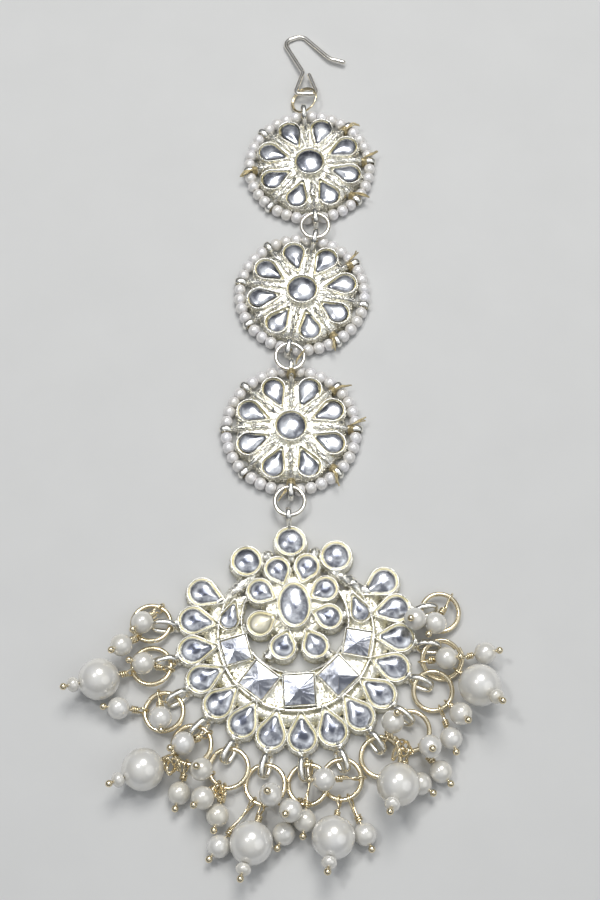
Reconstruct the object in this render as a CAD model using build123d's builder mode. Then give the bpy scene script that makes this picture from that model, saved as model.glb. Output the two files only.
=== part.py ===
"""Maang tikka: a hair hook, three round rosettes ringed with seed pearls, a crescent
pendant and its fringe of pearl drops, lying face up.

Millimetres. +Z is up, +Y runs towards the hook, and the origin is on the floor below
the middle of the whole outline.
"""
import math
import os

from build123d import *

# ---- driving dimensions --------------------------------------------------------------
play = 0.06                     # gap kept between neighbouring pieces

# rosette casting
petal_count = 8
petal_width, petal_length, petal_tip = 5.3, 7.8, 0.5
petal_reach = 12.1              # from the rosette's centre to a petal's outer end
rosette_disc_radius, rosette_disc_height = 9.6, 2.6
petal_cup_height = 3.2
centre_cup_radius, centre_cup_height = 3.5, 4.0
cup_wall = 0.55                 # metal between a stone and the outside of its cup
seat_depth = 1.7                # from a cup's rim down to the seat of its stone
end_walls = 2.2                 # walls between a pear's length and its stone's, for both ends

# stones
stone_tip, table_tip = 0.3, 0.12
table_width, table_length = 0.45, 0.5   # shares of a cup's outside size
girdle_height, crown_height = 0.9, 0.7
square_corner, square_table = 0.35, 0.3
square_girdle_height, square_crown_height = 0.7, 1.1

# seed pearls on their thread
thread_radius = 0.2
thread_circle_radius = 13.5
thread_height = 1.28
seed_radius, seed_length, seed_bore = 1.26, 2.3, 0.3
seeds_per_petal = 4

# eyelets of the castings: flat loops that stand on edge
eyelet_wall, eyelet_thickness = 0.6, 1.1
eyelet_root = 8.5               # an eyelet starts inside the casting
eyelet_corner, eyelet_hole_corner = 0.9, 0.35   # shares of half its height and of its hole
string_eyelet_reach, string_eyelet_half = 15.0, 1.25
string_eyelet_height = 1.35
string_hole_gap = 0.4           # from a petal's outer end to the hole
link_steps = (2, 6)             # eyelets that take the links, counted in petals from +X
link_eyelet_reach, link_eyelet_half, link_eyelet_height = 15.8, 2.0, 2.15

# rings that link the chain of rosettes
link_radius, link_wire = 3.0, 0.43
# the links lie on top of the seed pearls
link_height = thread_height + seed_radius + link_wire + play
hook_ring_radius, hook_ring_wire = 3.05, 0.38
hook_ring_place = (4.18, 75.95, 1.95)
hook_ring_roll = -29.5          # degrees, the side under the hook's left leg is the low one

# pendant casting, drawn about the centre of the crescent's outer edge
crescent_radius = 15.3
crescent_inner_radius, crescent_inner_y = 10.2, 2.6
crescent_arm_top = 8.2
crescent_bed, crescent_rim_height, crescent_rim = 2.0, 2.9, 0.7
square_cup_height = 3.3
flower_y, flower_backing_half_x, flower_backing_half_y = 5.3, 6.5, 7.4
flower_width, flower_length = 5.4, 6.6
flower_cup_height, oval_cup_height = 3.5, 4.5
oval_half_x, oval_half_y = 3.45, 4.7
round_cup_radius = 3.2
backing_height = 1.4
fringe_count, fringe_pitch, fringe_radius = 15, 16.8, 19.1
fringe_width, fringe_length, fringe_cup_height = 6.0, 8.4, 3.0

# eyelet over the top round cup, along the pendant's own y
pendant_eyelet_start, pendant_eyelet_end = 20.9, 26.0
pendant_hole_start, pendant_link_y = 23.45, 24.35

# eyelets under the fringe
drop_eyelet_count, drop_eyelet_pitch = 13, 16.2
drop_eyelet_start, drop_eyelet_reach, drop_eyelet_half = 22.0, 28.4, 1.5
drop_hole_start, drop_eyelet_thickness = 23.9, 0.8
drop_eyelet_height, drop_eyelet_twist = 1.65, 30.0

# jump rings and pearl drops
ring_radius, ring_wire = 3.7, 0.45
pin_radius, pin_loop_wire, pin_loop_radius, pin_loop_slack = 0.2, 0.23, 1.0, 0.2
floor_gap = 0.02                # between the lowest pin loops and the floor
wrap_radius, wrap_length = 0.6, 1.3
pearl_bore = 0.4
large_pearl_radius, small_pearl_radius = 4.0, 2.15
tip_bead_radius, tip_bead_length = 1.5, 2.2
pin_head_radius = 0.7

# hair hook
hook_wire = 0.5
hook_rest_y, hook_rest_height, hook_slope = 94.8, 0.53, 5.6

# ---- places --------------------------------------------------------------------------
# rosettes from the hook down: x, y, turn in degrees
rosettes = [
    (5.35, 58.45, 5.1),
    (3.7, 26.4, -12.0),
    (1.4, -5.25, 0.0),
]

pendant_place = Location((2.45, -48.6, 0), (0, 0, 3.5))

# stones of the crescent: degrees from the bottom, radius, half width across, half length
crescent_stones = [
    (0.0, 11.2, 3.3, 3.3),
    (40.5, 11.7, 3.15, 3.15),
    (77.0, 12.05, 2.8, 2.85),
]
crescent_tip_stone = (109.5, 13.2)      # degrees from the bottom, radius
crescent_tip_width, crescent_tip_length = 4.4, 6.8

# petals of the flower from its centre: x, y
flower_petals = [
    (5.8, 2.9),
    (2.8, 7.45),
    (-2.7, 7.2),
    (-6.1, 3.2),
    (-6.35, -2.9),
    (-2.5, -7.45),
    (3.4, -7.6),
    (6.2, -2.35),
]

# round cups at the top of the pendant: x, y
top_cups = [(0.0, 18.6), (-8.85, 15.0), (8.85, 15.0)]

# metal that bridges the flower, the round cups and the crescent: x, y, radius
bridges = [
    (0.0, 15.3, 1.7),
    (-6.1, 13.3, 1.7),
    (6.1, 13.3, 1.7),
    (-10.9, 10.6, 1.9),
    (10.9, 10.6, 1.9),
    (-5.2, -3.9, 1.4),
    (5.2, -3.9, 1.4),
]

# jump rings in the pendant's own axes: degrees from the bottom, reach of the ring's
# centre, roll in degrees
drop_rings = [
    (-98.0, 28.3, 8),
    (-80.8, 28.5, 8),
    (-62.5, 29.3, 6),
    (-46.1, 29.0, 8),
    (-29.6, 28.6, 8),
    (-14.7, 29.3, 8),
    (1.0, 28.8, 11),
    (13.8, 29.1, 11),
    (30.6, 28.5, 8),
    (45.6, 28.6, 9),
    (63.6, 28.5, 11),
    (76.6, 28.6, 11),
    (95.3, 28.5, 5),
]

# pearl drops in the pendant's own axes: jump ring, pearl centre x, y, z, and the place
# on the ring, in degrees from its outermost point, where the pin's loop grips the wire
large_drops = [
    (2, -38.0, -7.0, 4.05, 5),
    (4, -30.0, -24.5, 4.05, 345),
    (6, -10.5, -39.0, 4.05, 5),
    (8, 4.5, -39.0, 4.75, 335),
    (10, 17.0, -30.5, 6.5, 305),
    (12, 34.0, -13.0, 6.0, 335),
]
small_drops = [
    (1, -29.5, 3.5, 4.5, 245),
    (1, -33.5, -1.0, 5.5, 55),
    (2, -29.5, -4.5, 4.25, 155),
    (3, -34.5, -12.5, 2.75, 325),
    (3, -26.5, -15.0, 3.75, 255),
    (4, -22.3, -20.2, 4.5, 165),
    (4, -23.5, -29.0, 2.2, 30),
    (5, -19.0, -25.5, 6.25, 315),
    (5, -19.0, -30.5, 5.0, 355),
    (5, -16.5, -33.5, 2.75, 15),
    (6, -16.5, -39.0, 2.2, 335),
    (6, -6.5, -31.0, 7.0, 45),
    (7, -3.0, -34.0, 6.75, 335),
    (7, -4.5, -37.5, 2.2, 325),
    (7, -0.5, -35.5, 3.25, 165),
    (8, 3.5, -28.5, 5.0, 75),
    (8, 10.5, -38.5, 2.2, 5),
    (9, 17.0, -19.0, 6.5, 130),
    (9, 21.5, -30.0, 2.2, 25),
    (10, 23.5, -24.0, 6.75, 5),
    (10, 25.5, -28.0, 2.2, 345),
    (11, 28.0, -22.0, 2.75, 315),
    (11, 30.0, -18.0, 5.25, 345),
    (12, 28.5, -7.0, 4.0, 195),
    (12, 36.0, -6.5, 4.25, 15),
    (13, 23.0, 0.5, 6.25, 195),
    (13, 27.0, 0.0, 4.0, 45),
]

# hair hook in its own plane, from the free tip to the end of the foot: x, y, bend radius
hook_bends = [
    (13.25, 86.85, 0.0),
    (10.1, 87.9, 4.0),
    (3.7, 95.05, 2.2),
    (-0.6, 93.05, 1.8),
    (3.95, 83.8, 0.9),
    (2.1, 77.45, 0.8),
    (7.2, 77.25, 0.8),
    (5.35, 82.95, 0.0),
]


# ---- helpers -------------------------------------------------------------------------
def polar(radius, degrees, height=0.0):
    """Point at a radius and an angle from +X."""
    angle = math.radians(degrees)
    return Vector(radius * math.cos(angle), radius * math.sin(angle), height)


def write(piece, name, place=Location()):
    """Label a finished piece, put it in place and write its file."""
    solid = piece.part.moved(place)
    solid.label = name
    export_step(solid, f"parts/{name}.step")
    print(name, len(solid.solids()), "solid(s),", round(solid.volume, 1), "mm3")


def pear_outline(width, length, tip):
    """Pear with its small end towards -X and its middle at the origin."""
    with BuildSketch() as outline:
        with BuildLine():
            CenterArc((length / 2 - width / 2, 0), width / 2, 0, 360)
            CenterArc((tip - length / 2, 0), tip, 0, 360)
        make_hull()
    return outline.sketch


def round_outline(radius):
    with BuildSketch() as outline:
        Circle(radius)
    return outline.sketch


def oval_outline(half_x, half_y):
    with BuildSketch() as outline:
        Ellipse(half_x, half_y)
    return outline.sketch


def square_outline(half_x, half_y):
    with BuildSketch() as outline:
        RectangleRounded(2 * half_x, 2 * half_y, square_corner)
    return outline.sketch


def cut_stone(girdle, table, seat, girdle_height, crown_height):
    """Stone that rises from its seat to a girdle and narrows to a table."""
    with BuildPart() as stone:
        with BuildSketch(Plane.XY.offset(seat)):
            add(girdle)
        extrude(amount=girdle_height)
        with BuildSketch(Plane.XY.offset(seat + girdle_height)):
            add(girdle)
        with BuildSketch(Plane.XY.offset(seat + girdle_height + crown_height)):
            add(table)
        loft(ruled=True)
    return stone


def pear_stone(width, length, rim_height):
    """Stone for a pear cup of the given outside size."""
    inset = cup_wall + play
    girdle = pear_outline(width - 2 * inset, length - end_walls * inset, stone_tip)
    table = pear_outline(table_width * width, table_length * length, table_tip)
    seat = rim_height - seat_depth + play
    return cut_stone(girdle, table, seat, girdle_height, crown_height)


def pear_pocket(width, length):
    return pear_outline(width - 2 * cup_wall, length - end_walls * cup_wall, stone_tip)


def eyelet(angle, start, reach, half, height, hole_start, thickness, twist=0.0):
    """Flat loop on edge that points outwards, added to the part being built."""
    outwards = polar(1, angle)
    across = polar(math.cos(math.radians(twist)), angle + 90)
    normal = across + Vector(0, 0, math.sin(math.radians(twist)))
    side = Plane(origin=(0, 0, height), x_dir=outwards, z_dir=normal)
    hole_end = reach - eyelet_wall
    hole_half = half - eyelet_wall
    with BuildSketch(side) as loop:
        with Locations(((start + reach) / 2, 0)):
            RectangleRounded(reach - start, 2 * half, eyelet_corner * half)
        with Locations(((hole_start + hole_end) / 2, 0)):
            corner = eyelet_hole_corner * min(hole_end - hole_start, 2 * hole_half)
            RectangleRounded(hole_end - hole_start, 2 * hole_half, corner, mode=Mode.SUBTRACT)
    extrude(loop.sketch, amount=thickness / 2, both=True)


def ring_solid(plane, radius, wire):
    with BuildPart() as ring:
        with Locations(plane):
            Torus(radius, wire)
    return ring


def drilled_pearl(radius, bore):
    """Round pearl drilled along Z."""
    with BuildPart() as pearl:
        Sphere(radius)
        Cylinder(bore, 3 * radius, mode=Mode.SUBTRACT)
    return pearl


def drilled_bead(radius, length, bore):
    """Flattened bead drilled along Z."""
    with BuildPart() as bead:
        with BuildSketch(Plane.XZ):
            Ellipse(radius, length / 2)
            Rectangle(2 * bore, length, mode=Mode.SUBTRACT)
            Rectangle(2 * radius, length, align=(Align.MAX, Align.CENTER), mode=Mode.SUBTRACT)
        revolve(axis=Axis.Z)
    return bead


# ---- rosettes ------------------------------------------------------------------------
petal_middle = petal_reach - petal_length / 2
petal_step = 360 / petal_count
petal_seat = petal_cup_height - seat_depth
string_hole_start = petal_reach + string_hole_gap

with BuildPart() as rosette_frame:
    with BuildSketch():
        Circle(rosette_disc_radius)
    extrude(amount=rosette_disc_height)
    with BuildSketch():
        with PolarLocations(petal_middle, petal_count, start_angle=petal_step / 2):
            add(pear_outline(petal_width, petal_length, petal_tip))
    extrude(amount=petal_cup_height)
    with BuildSketch():
        Circle(centre_cup_radius)
    extrude(amount=centre_cup_height)
    with BuildSketch(Plane.XY.offset(petal_seat)):
        with PolarLocations(petal_middle, petal_count, start_angle=petal_step / 2):
            add(pear_pocket(petal_width, petal_length))
    extrude(amount=seat_depth, mode=Mode.SUBTRACT)
    with BuildSketch(Plane.XY.offset(centre_cup_height - seat_depth)):
        Circle(centre_cup_radius - cup_wall)
    extrude(amount=seat_depth, mode=Mode.SUBTRACT)
    for step in range(petal_count):
        if step in link_steps:
            eyelet(step * petal_step, eyelet_root, link_eyelet_reach, link_eyelet_half,
                   link_eyelet_height, petal_reach, eyelet_thickness)
        else:
            eyelet(step * petal_step, eyelet_root, string_eyelet_reach, string_eyelet_half,
                   string_eyelet_height, string_hole_start, eyelet_thickness)

centre_stone_radius = centre_cup_radius - cup_wall - play
rosette_centre_stone = cut_stone(
    round_outline(centre_stone_radius), round_outline(table_length * centre_stone_radius),
    centre_cup_height - seat_depth + play, girdle_height, crown_height,
)

rosette_petal_stone = pear_stone(petal_width, petal_length, petal_cup_height)
with BuildPart() as rosette_petal_stones:
    with PolarLocations(petal_middle, petal_count, start_angle=petal_step / 2):
        add(rosette_petal_stone.part)

# the seeds of one petal sit side by side between two eyelets
seed_room = eyelet_thickness / 2 + seed_length / 2 + play
first_seed = math.degrees(seed_room / thread_circle_radius)
seed_step = (petal_step - 2 * first_seed) / (seeds_per_petal - 1)
seed_places = []
for petal in range(petal_count):
    for seed in range(seeds_per_petal):
        angle = petal * petal_step + first_seed + seed * seed_step
        place = polar(thread_circle_radius, angle, thread_height)
        seed_places.append(Plane(origin=place, z_dir=polar(1, angle + 90)))

seed_pearl = drilled_bead(seed_radius, seed_length, seed_bore)
with BuildPart() as rosette_seed_pearls:
    with Locations(*seed_places):
        add(seed_pearl.part)
    with Locations((0, 0, thread_height)):
        Torus(thread_circle_radius, thread_radius)

# ---- links ---------------------------------------------------------------------------
link_points = []
for x, y, turn in rosettes:
    link_points.append([
        Vector(x, y, link_height) + polar(thread_circle_radius, turn + 90),
        Vector(x, y, link_height) + polar(thread_circle_radius, turn - 90),
    ])
pendant_link_point = Vector(*(pendant_place * Location((0, pendant_link_y, link_height))).position)


def link_between(upper, lower):
    """Flat ring midway between two eyelet holes."""
    return ring_solid(Plane(origin=(upper + lower) / 2), link_radius, link_wire)


link_rings = [
    link_between(link_points[0][1], link_points[1][0]),
    link_between(link_points[1][1], link_points[2][0]),
    link_between(link_points[2][1], pendant_link_point),
]

hook_ring_plane = Plane(origin=hook_ring_place).rotated((0, hook_ring_roll, 0))
hook_ring = ring_solid(hook_ring_plane, hook_ring_radius, hook_ring_wire)

# ---- hair hook -----------------------------------------------------------------------
hook_plane = Plane(origin=(0, hook_rest_y, hook_rest_height)).rotated((-hook_slope, 0, 0))


def bent_path(plane, bends):
    """Straight lines joined by tangent arcs in a plane, added to the line being built."""
    corners = [plane.from_local_coords((x, y)) for x, y, radius in bends]
    start = corners[0]
    for before, corner, after, bend in zip(corners, corners[1:], corners[2:], bends[1:]):
        back = (before - corner).normalized()
        ahead = (after - corner).normalized()
        radius = bend[2]
        half_turn = math.radians(180 - back.get_angle(ahead)) / 2
        cut = radius * math.tan(half_turn)
        depth = radius / math.cos(half_turn) - radius
        middle = corner + (back + ahead).normalized() * depth
        Line(start, corner + back * cut)
        ThreePointArc(corner + back * cut, middle, corner + ahead * cut)
        start = corner + ahead * cut
    Line(start, corners[-1])


with BuildPart() as hook:
    with BuildLine() as hook_line:
        bent_path(hook_plane, [(x, y - hook_rest_y, radius) for x, y, radius in hook_bends])
    with BuildSketch(Plane(origin=hook_line.line @ 0, z_dir=hook_line.line % 0)):
        Circle(hook_wire)
    sweep(path=hook_line.wire())
    with Locations(hook_line.line @ 0, hook_line.line @ 1):
        Sphere(hook_wire)

# ---- pendant -------------------------------------------------------------------------
bottom = 270                    # degrees from +X to the middle of the fringe


def crescent_outline(rim):
    """Crescent drawn a rim's width inside its edge."""
    with BuildSketch() as outline:
        Circle(crescent_radius - rim)
        with Locations((0, crescent_inner_y)):
            Circle(crescent_inner_radius + rim, mode=Mode.SUBTRACT)
        with Locations((0, crescent_arm_top - rim)):
            above = (4 * crescent_radius, 2 * crescent_radius)
            Rectangle(*above, align=(Align.CENTER, Align.MIN), mode=Mode.SUBTRACT)
    return outline.sketch


flower_places = []
for x, y in flower_petals:
    flower_places.append(Location((x, flower_y + y, 0), (0, 0, math.degrees(math.atan2(y, x)))))

fringe_places = []
for pear in range(fringe_count):
    angle = bottom + (pear - (fringe_count - 1) / 2) * fringe_pitch
    fringe_places.append(Location(polar(fringe_radius, angle), (0, 0, angle)))

square_places = []
for degrees, radius, half_x, half_y in crescent_stones:
    for side in ([1] if degrees == 0 else [1, -1]):
        angle = bottom + side * degrees
        place = Location(polar(radius, angle), (0, 0, angle + 90))
        square_places.append((place, half_x, half_y))

# the small end of a tip stone points up its arm
tip_places = []
for side in (1, -1):
    angle = bottom + side * crescent_tip_stone[0]
    place = Location(polar(crescent_tip_stone[1], angle), (0, 0, angle - side * 90))
    tip_places.append(place)

crescent_seat = square_cup_height - seat_depth

with BuildPart() as pendant_frame:
    # backing that joins the flower, the round cups and the fringe
    with BuildSketch():
        add(crescent_outline(0))
        with Locations((0, flower_y)):
            Ellipse(flower_backing_half_x, flower_backing_half_y)
        for x, y, radius in bridges:
            with Locations((x, y)):
                Circle(radius)
    extrude(amount=backing_height)
    # crescent with a raised rim round its bed
    with BuildSketch():
        add(crescent_outline(0))
    extrude(amount=crescent_rim_height)
    with BuildSketch(Plane.XY.offset(crescent_bed)):
        add(crescent_outline(crescent_rim))
    extrude(amount=crescent_rim_height, mode=Mode.SUBTRACT)
    # cups
    with BuildSketch():
        for place, half_x, half_y in square_places:
            with Locations(place):
                add(square_outline(half_x, half_y))
        for place in tip_places:
            with Locations(place):
                add(pear_outline(crescent_tip_width, crescent_tip_length, petal_tip))
    extrude(amount=square_cup_height)
    with BuildSketch():
        for place in flower_places:
            with Locations(place):
                add(pear_outline(flower_width, flower_length, petal_tip))
        with Locations(*top_cups):
            Circle(round_cup_radius)
    extrude(amount=flower_cup_height)
    with BuildSketch():
        with Locations((0, flower_y)):
            Ellipse(oval_half_x, oval_half_y)
    extrude(amount=oval_cup_height)
    with BuildSketch():
        for place in fringe_places:
            with Locations(place):
                add(pear_outline(fringe_width, fringe_length, petal_tip))
    extrude(amount=fringe_cup_height)
    # eyelets
    eyelet(90, pendant_eyelet_start, pendant_eyelet_end, link_eyelet_half, link_eyelet_height,
           pendant_hole_start, eyelet_thickness)
    for step in range(drop_eyelet_count):
        angle = bottom + (step - (drop_eyelet_count - 1) / 2) * drop_eyelet_pitch
        eyelet(angle, drop_eyelet_start, drop_eyelet_reach, drop_eyelet_half,
               drop_eyelet_height, drop_hole_start, drop_eyelet_thickness, drop_eyelet_twist)
    # seats of the stones
    with BuildSketch(Plane.XY.offset(crescent_seat)):
        for place, half_x, half_y in square_places:
            with Locations(place):
                add(square_outline(half_x - cup_wall, half_y - cup_wall))
        for place in tip_places:
            with Locations(place):
                add(pear_pocket(crescent_tip_width, crescent_tip_length))
    extrude(amount=seat_depth, mode=Mode.SUBTRACT)
    with BuildSketch(Plane.XY.offset(flower_cup_height - seat_depth)):
        for place in flower_places:
            with Locations(place):
                add(pear_pocket(flower_width, flower_length))
        with Locations(*top_cups):
            Circle(round_cup_radius - cup_wall)
    extrude(amount=seat_depth, mode=Mode.SUBTRACT)
    with BuildSketch(Plane.XY.offset(oval_cup_height - seat_depth)):
        with Locations((0, flower_y)):
            Ellipse(oval_half_x - cup_wall, oval_half_y - cup_wall)
    extrude(amount=seat_depth, mode=Mode.SUBTRACT)
    with BuildSketch(Plane.XY.offset(fringe_cup_height - seat_depth)):
        for place in fringe_places:
            with Locations(place):
                add(pear_pocket(fringe_width, fringe_length))
    extrude(amount=seat_depth, mode=Mode.SUBTRACT)

oval_stone = cut_stone(
    oval_outline(oval_half_x - cup_wall - play, oval_half_y - cup_wall - play),
    oval_outline(table_width * oval_half_x, table_width * oval_half_y),
    oval_cup_height - seat_depth + play, girdle_height, crown_height,
)
with BuildPart() as pendant_centre_stone:
    with Locations((0, flower_y)):
        add(oval_stone.part)

round_stone = cut_stone(
    round_outline(round_cup_radius - cup_wall - play),
    round_outline(table_width * round_cup_radius),
    flower_cup_height - seat_depth + play, girdle_height, crown_height,
)
with BuildPart() as pendant_top_stones:
    with Locations(*top_cups):
        add(round_stone.part)

flower_stone = pear_stone(flower_width, flower_length, flower_cup_height)
with BuildPart() as pendant_petal_stones:
    with Locations(*flower_places):
        add(flower_stone.part)

fringe_stone = pear_stone(fringe_width, fringe_length, fringe_cup_height)
with BuildPart() as pendant_fringe_stones:
    with Locations(*fringe_places):
        add(fringe_stone.part)

square_stones = []
for place, half_x, half_y in square_places:
    inset = cup_wall + play
    square_stones.append(cut_stone(
        square_outline(half_x - inset, half_y - inset),
        square_outline(square_table * half_x, square_table * half_y),
        crescent_seat + play, square_girdle_height, square_crown_height,
    ))
crescent_tip_stones = pear_stone(crescent_tip_width, crescent_tip_length, square_cup_height)
with BuildPart() as pendant_crescent_stones:
    for stone, (place, half_x, half_y) in zip(square_stones, square_places):
        with Locations(place):
            add(stone.part)
    with Locations(*tip_places):
        add(crescent_tip_stones.part)


# ---- jump rings and drops ------------------------------------------------------------
def drop_ring_plane(number):
    """Plane of a jump ring: x points outwards, y along the fringe."""
    turn, reach, roll = drop_rings[number - 1]
    outwards = polar(1, bottom + turn)
    along = polar(math.cos(math.radians(roll)), bottom + turn + 90)
    along += Vector(0, 0, math.sin(math.radians(roll)))
    return Plane(
        origin=polar(reach, bottom + turn, drop_eyelet_height),
        x_dir=outwards, z_dir=outwards.cross(along),
    )


def grip(drop):
    """Centre of a pin's loop on its ring, the pin's direction, and the loop's normal."""
    number, x, y, z, degrees = drop
    plane = drop_ring_plane(number)
    wire_point = plane.from_local_coords(polar(ring_radius, degrees))
    wire_run = plane.from_local_coords(polar(1, degrees + 90)) - plane.origin
    pearl = Vector(x, y, z)
    loop = wire_point + (pearl - wire_point).normalized() * pin_loop_slack
    lowest = pin_loop_radius + pin_loop_wire + floor_gap
    loop = Vector(loop.X, loop.Y, max(loop.Z, lowest))
    along = (pearl - loop).normalized()
    normal = (wire_run - along * wire_run.dot(along)).normalized()
    return loop, along, normal, pearl


def head_pin(drop, pearl_radius, past_pearl):
    """Wire from a loop and its wrapped neck, through the pearl, to a ball head."""
    loop, along, normal, pearl = grip(drop)
    reach = (pearl - loop).length
    wrap_end = reach - pearl_radius - 2 * play
    wrap_start = wrap_end - wrap_length
    head = reach + pearl_radius + past_pearl + pin_head_radius + play
    head_start = head - math.sqrt(pin_head_radius**2 - pin_radius**2)
    with BuildPart() as pin:
        with BuildSketch(Plane(origin=loop, x_dir=along, z_dir=normal)):
            with BuildLine():
                Polyline(
                    (head + pin_head_radius, 0), (pin_loop_radius, 0), (pin_loop_radius, pin_radius),
                    (wrap_start, pin_radius), (wrap_start, wrap_radius), (wrap_end, wrap_radius),
                    (wrap_end, pin_radius), (head_start, pin_radius),
                )
                ThreePointArc(
                    (head_start, pin_radius), (head, pin_head_radius), (head + pin_head_radius, 0),
                )
            make_face()
        revolve(axis=Axis(loop, along))
        with Locations(Plane(origin=loop, x_dir=along, z_dir=normal)):
            Torus(pin_loop_radius, pin_loop_wire)
    return pin


def along_pin(drop, distance=0.0):
    """Plane on a drop's pin, at a distance past its pearl's centre."""
    loop, along, normal, pearl = grip(drop)
    return Plane(origin=pearl + along * distance, z_dir=along)


tip_bead = drilled_bead(tip_bead_radius, tip_bead_length, pearl_bore)
large_pearl = drilled_pearl(large_pearl_radius, pearl_bore)
small_pearl = drilled_pearl(small_pearl_radius, pearl_bore)

tip_distance = large_pearl_radius + play + tip_bead_length / 2
with BuildPart() as large_tip_beads:
    for drop in large_drops:
        with Locations(along_pin(drop, tip_distance)):
            add(tip_bead.part)

with BuildPart() as large_drop_pins:
    for drop in large_drops:
        add(head_pin(drop, large_pearl_radius, tip_bead_length + play).part)

with BuildPart() as small_drop_pins:
    for drop in small_drops:
        add(head_pin(drop, small_pearl_radius, 0).part)

# ---- files ---------------------------------------------------------------------------
os.makedirs("parts", exist_ok=True)

write(hook, "hook")
write(hook_ring, "hook_ring")
for number, (x, y, turn) in enumerate(rosettes, 1):
    place = Location((x, y, 0), (0, 0, turn))
    write(rosette_frame, f"rosette_{number}_frame", place)
    write(rosette_centre_stone, f"rosette_{number}_centre_stone", place)
    write(rosette_petal_stones, f"rosette_{number}_petal_stones", place)
    write(rosette_seed_pearls, f"rosette_{number}_seed_pearls", place)
for number, link in enumerate(link_rings, 1):
    write(link, f"link_ring_{number}")

write(pendant_frame, "pendant_frame", pendant_place)
write(pendant_centre_stone, "pendant_centre_stone", pendant_place)
write(pendant_top_stones, "pendant_top_stones", pendant_place)
write(pendant_petal_stones, "pendant_petal_stones", pendant_place)
write(pendant_crescent_stones, "pendant_crescent_stones", pendant_place)
write(pendant_fringe_stones, "pendant_fringe_stones", pendant_place)

for number in range(1, len(drop_rings) + 1):
    ring = ring_solid(drop_ring_plane(number), ring_radius, ring_wire)
    write(ring, f"drop_ring_{number:02d}", pendant_place)
    with BuildPart() as small_pearls:
        for drop in small_drops:
            if drop[0] == number:
                with Locations(along_pin(drop)):
                    add(small_pearl.part)
    write(small_pearls, f"small_pearls_{number:02d}", pendant_place)

for number, drop in enumerate(large_drops, 1):
    with BuildPart() as pearl:
        with Locations(along_pin(drop)):
            add(large_pearl.part)
    write(pearl, f"large_pearl_{number}", pendant_place)
write(large_tip_beads, "large_tip_beads", pendant_place)
write(large_drop_pins, "large_drop_pins", pendant_place)
write(small_drop_pins, "small_drop_pins", pendant_place)
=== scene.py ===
"""Finish of a maang tikka: gilt castings, foiled stones, seed pearls, wire and pearl drops.

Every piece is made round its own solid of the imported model, in metres, and lies face up.
"""
import copy
import math

import bmesh
import bpy
import numpy as np
from bpy.props import FloatProperty, FloatVectorProperty, IntProperty, PointerProperty
from mathutils import Euler, Matrix, Vector


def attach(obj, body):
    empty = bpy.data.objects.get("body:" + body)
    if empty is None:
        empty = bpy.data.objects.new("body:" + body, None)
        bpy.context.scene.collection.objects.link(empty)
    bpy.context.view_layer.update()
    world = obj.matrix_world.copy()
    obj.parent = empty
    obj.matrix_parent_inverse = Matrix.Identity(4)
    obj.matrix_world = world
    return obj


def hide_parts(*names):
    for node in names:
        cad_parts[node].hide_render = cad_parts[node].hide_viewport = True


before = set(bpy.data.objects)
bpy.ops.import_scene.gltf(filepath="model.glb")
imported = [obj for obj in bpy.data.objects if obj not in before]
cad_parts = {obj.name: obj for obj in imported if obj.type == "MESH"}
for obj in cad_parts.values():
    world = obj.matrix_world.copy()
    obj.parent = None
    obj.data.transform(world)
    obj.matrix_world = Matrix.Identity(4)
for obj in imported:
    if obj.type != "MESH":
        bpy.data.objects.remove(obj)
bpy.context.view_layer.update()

bl_info = {
    "name": "Maang tikka",
    "version": (1, 0, 0),
    "blender": (4, 5, 0),
    "location": "View3D > Sidebar > Tikka",
    "description": "Finishes the castings, stones, wires and pearls of a maang tikka",
    "category": "Object",
}

MM = 0.001
FULL_TURN = 6.28            # range of a random phase, in radians
ROSETTES = (1, 2, 3)
LARGE_PEARLS = range(1, 7)
DROP_RINGS = range(1, 14)

RIM_LIFT = 0.04 * MM        # a cup's rim above the top of its stone's solid
PEAR_TIP = 0.5 * MM         # radius of a pear cup's small end
SQUARE_CORNER = 0.35 * MM   # radius of a square cup's corners
STONE_LAP = 0.04 * MM       # a stone's edge runs this far into the wall of its cup
STONE_DEPTH = 1.05 * MM     # a stone's underside below its cup's rim
SQUARE_EDGE = 0.30 * MM     # a square stone's edge below its cup's rim
SQUARE_RISE = 0.42 * MM     # from there up to where its four slopes meet
RIM_WANDER = 0.035 * MM     # unevenness of a cup's rim
FOOT = 0.12 * MM            # underside of the fillets and ridges
GRAIN_FLOOR = 1.0 * MM      # grains lie only on ground higher than this
FLOOR_GAP = 0.02 * MM       # no grain reaches lower than this

# a rosette's eyelets and ridges, in millimetres from its centre
LINK_STEPS = (2, 6)         # eyelets that take the links; the others take the thread
LINK_EYELET = {"start": 11.5, "end": 15.8, "half": 2.0, "height": 2.15}
STRING_EYELET = {"half": 1.25, "height": 1.35}
STRING_EYELET_REACH = 1.5   # each way from the thread
STRING_EYELET_SHARE = 1.1   # of the link eyelets' width
ROSETTE_EYELET_ROOT = 8.2
RIDGE_REACH, RIDGE_WIDTH = (4.4, 11.9), 1.25
RIDGE_LEVELS = (-0.2, 0.75)     # from the ground's height

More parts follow.
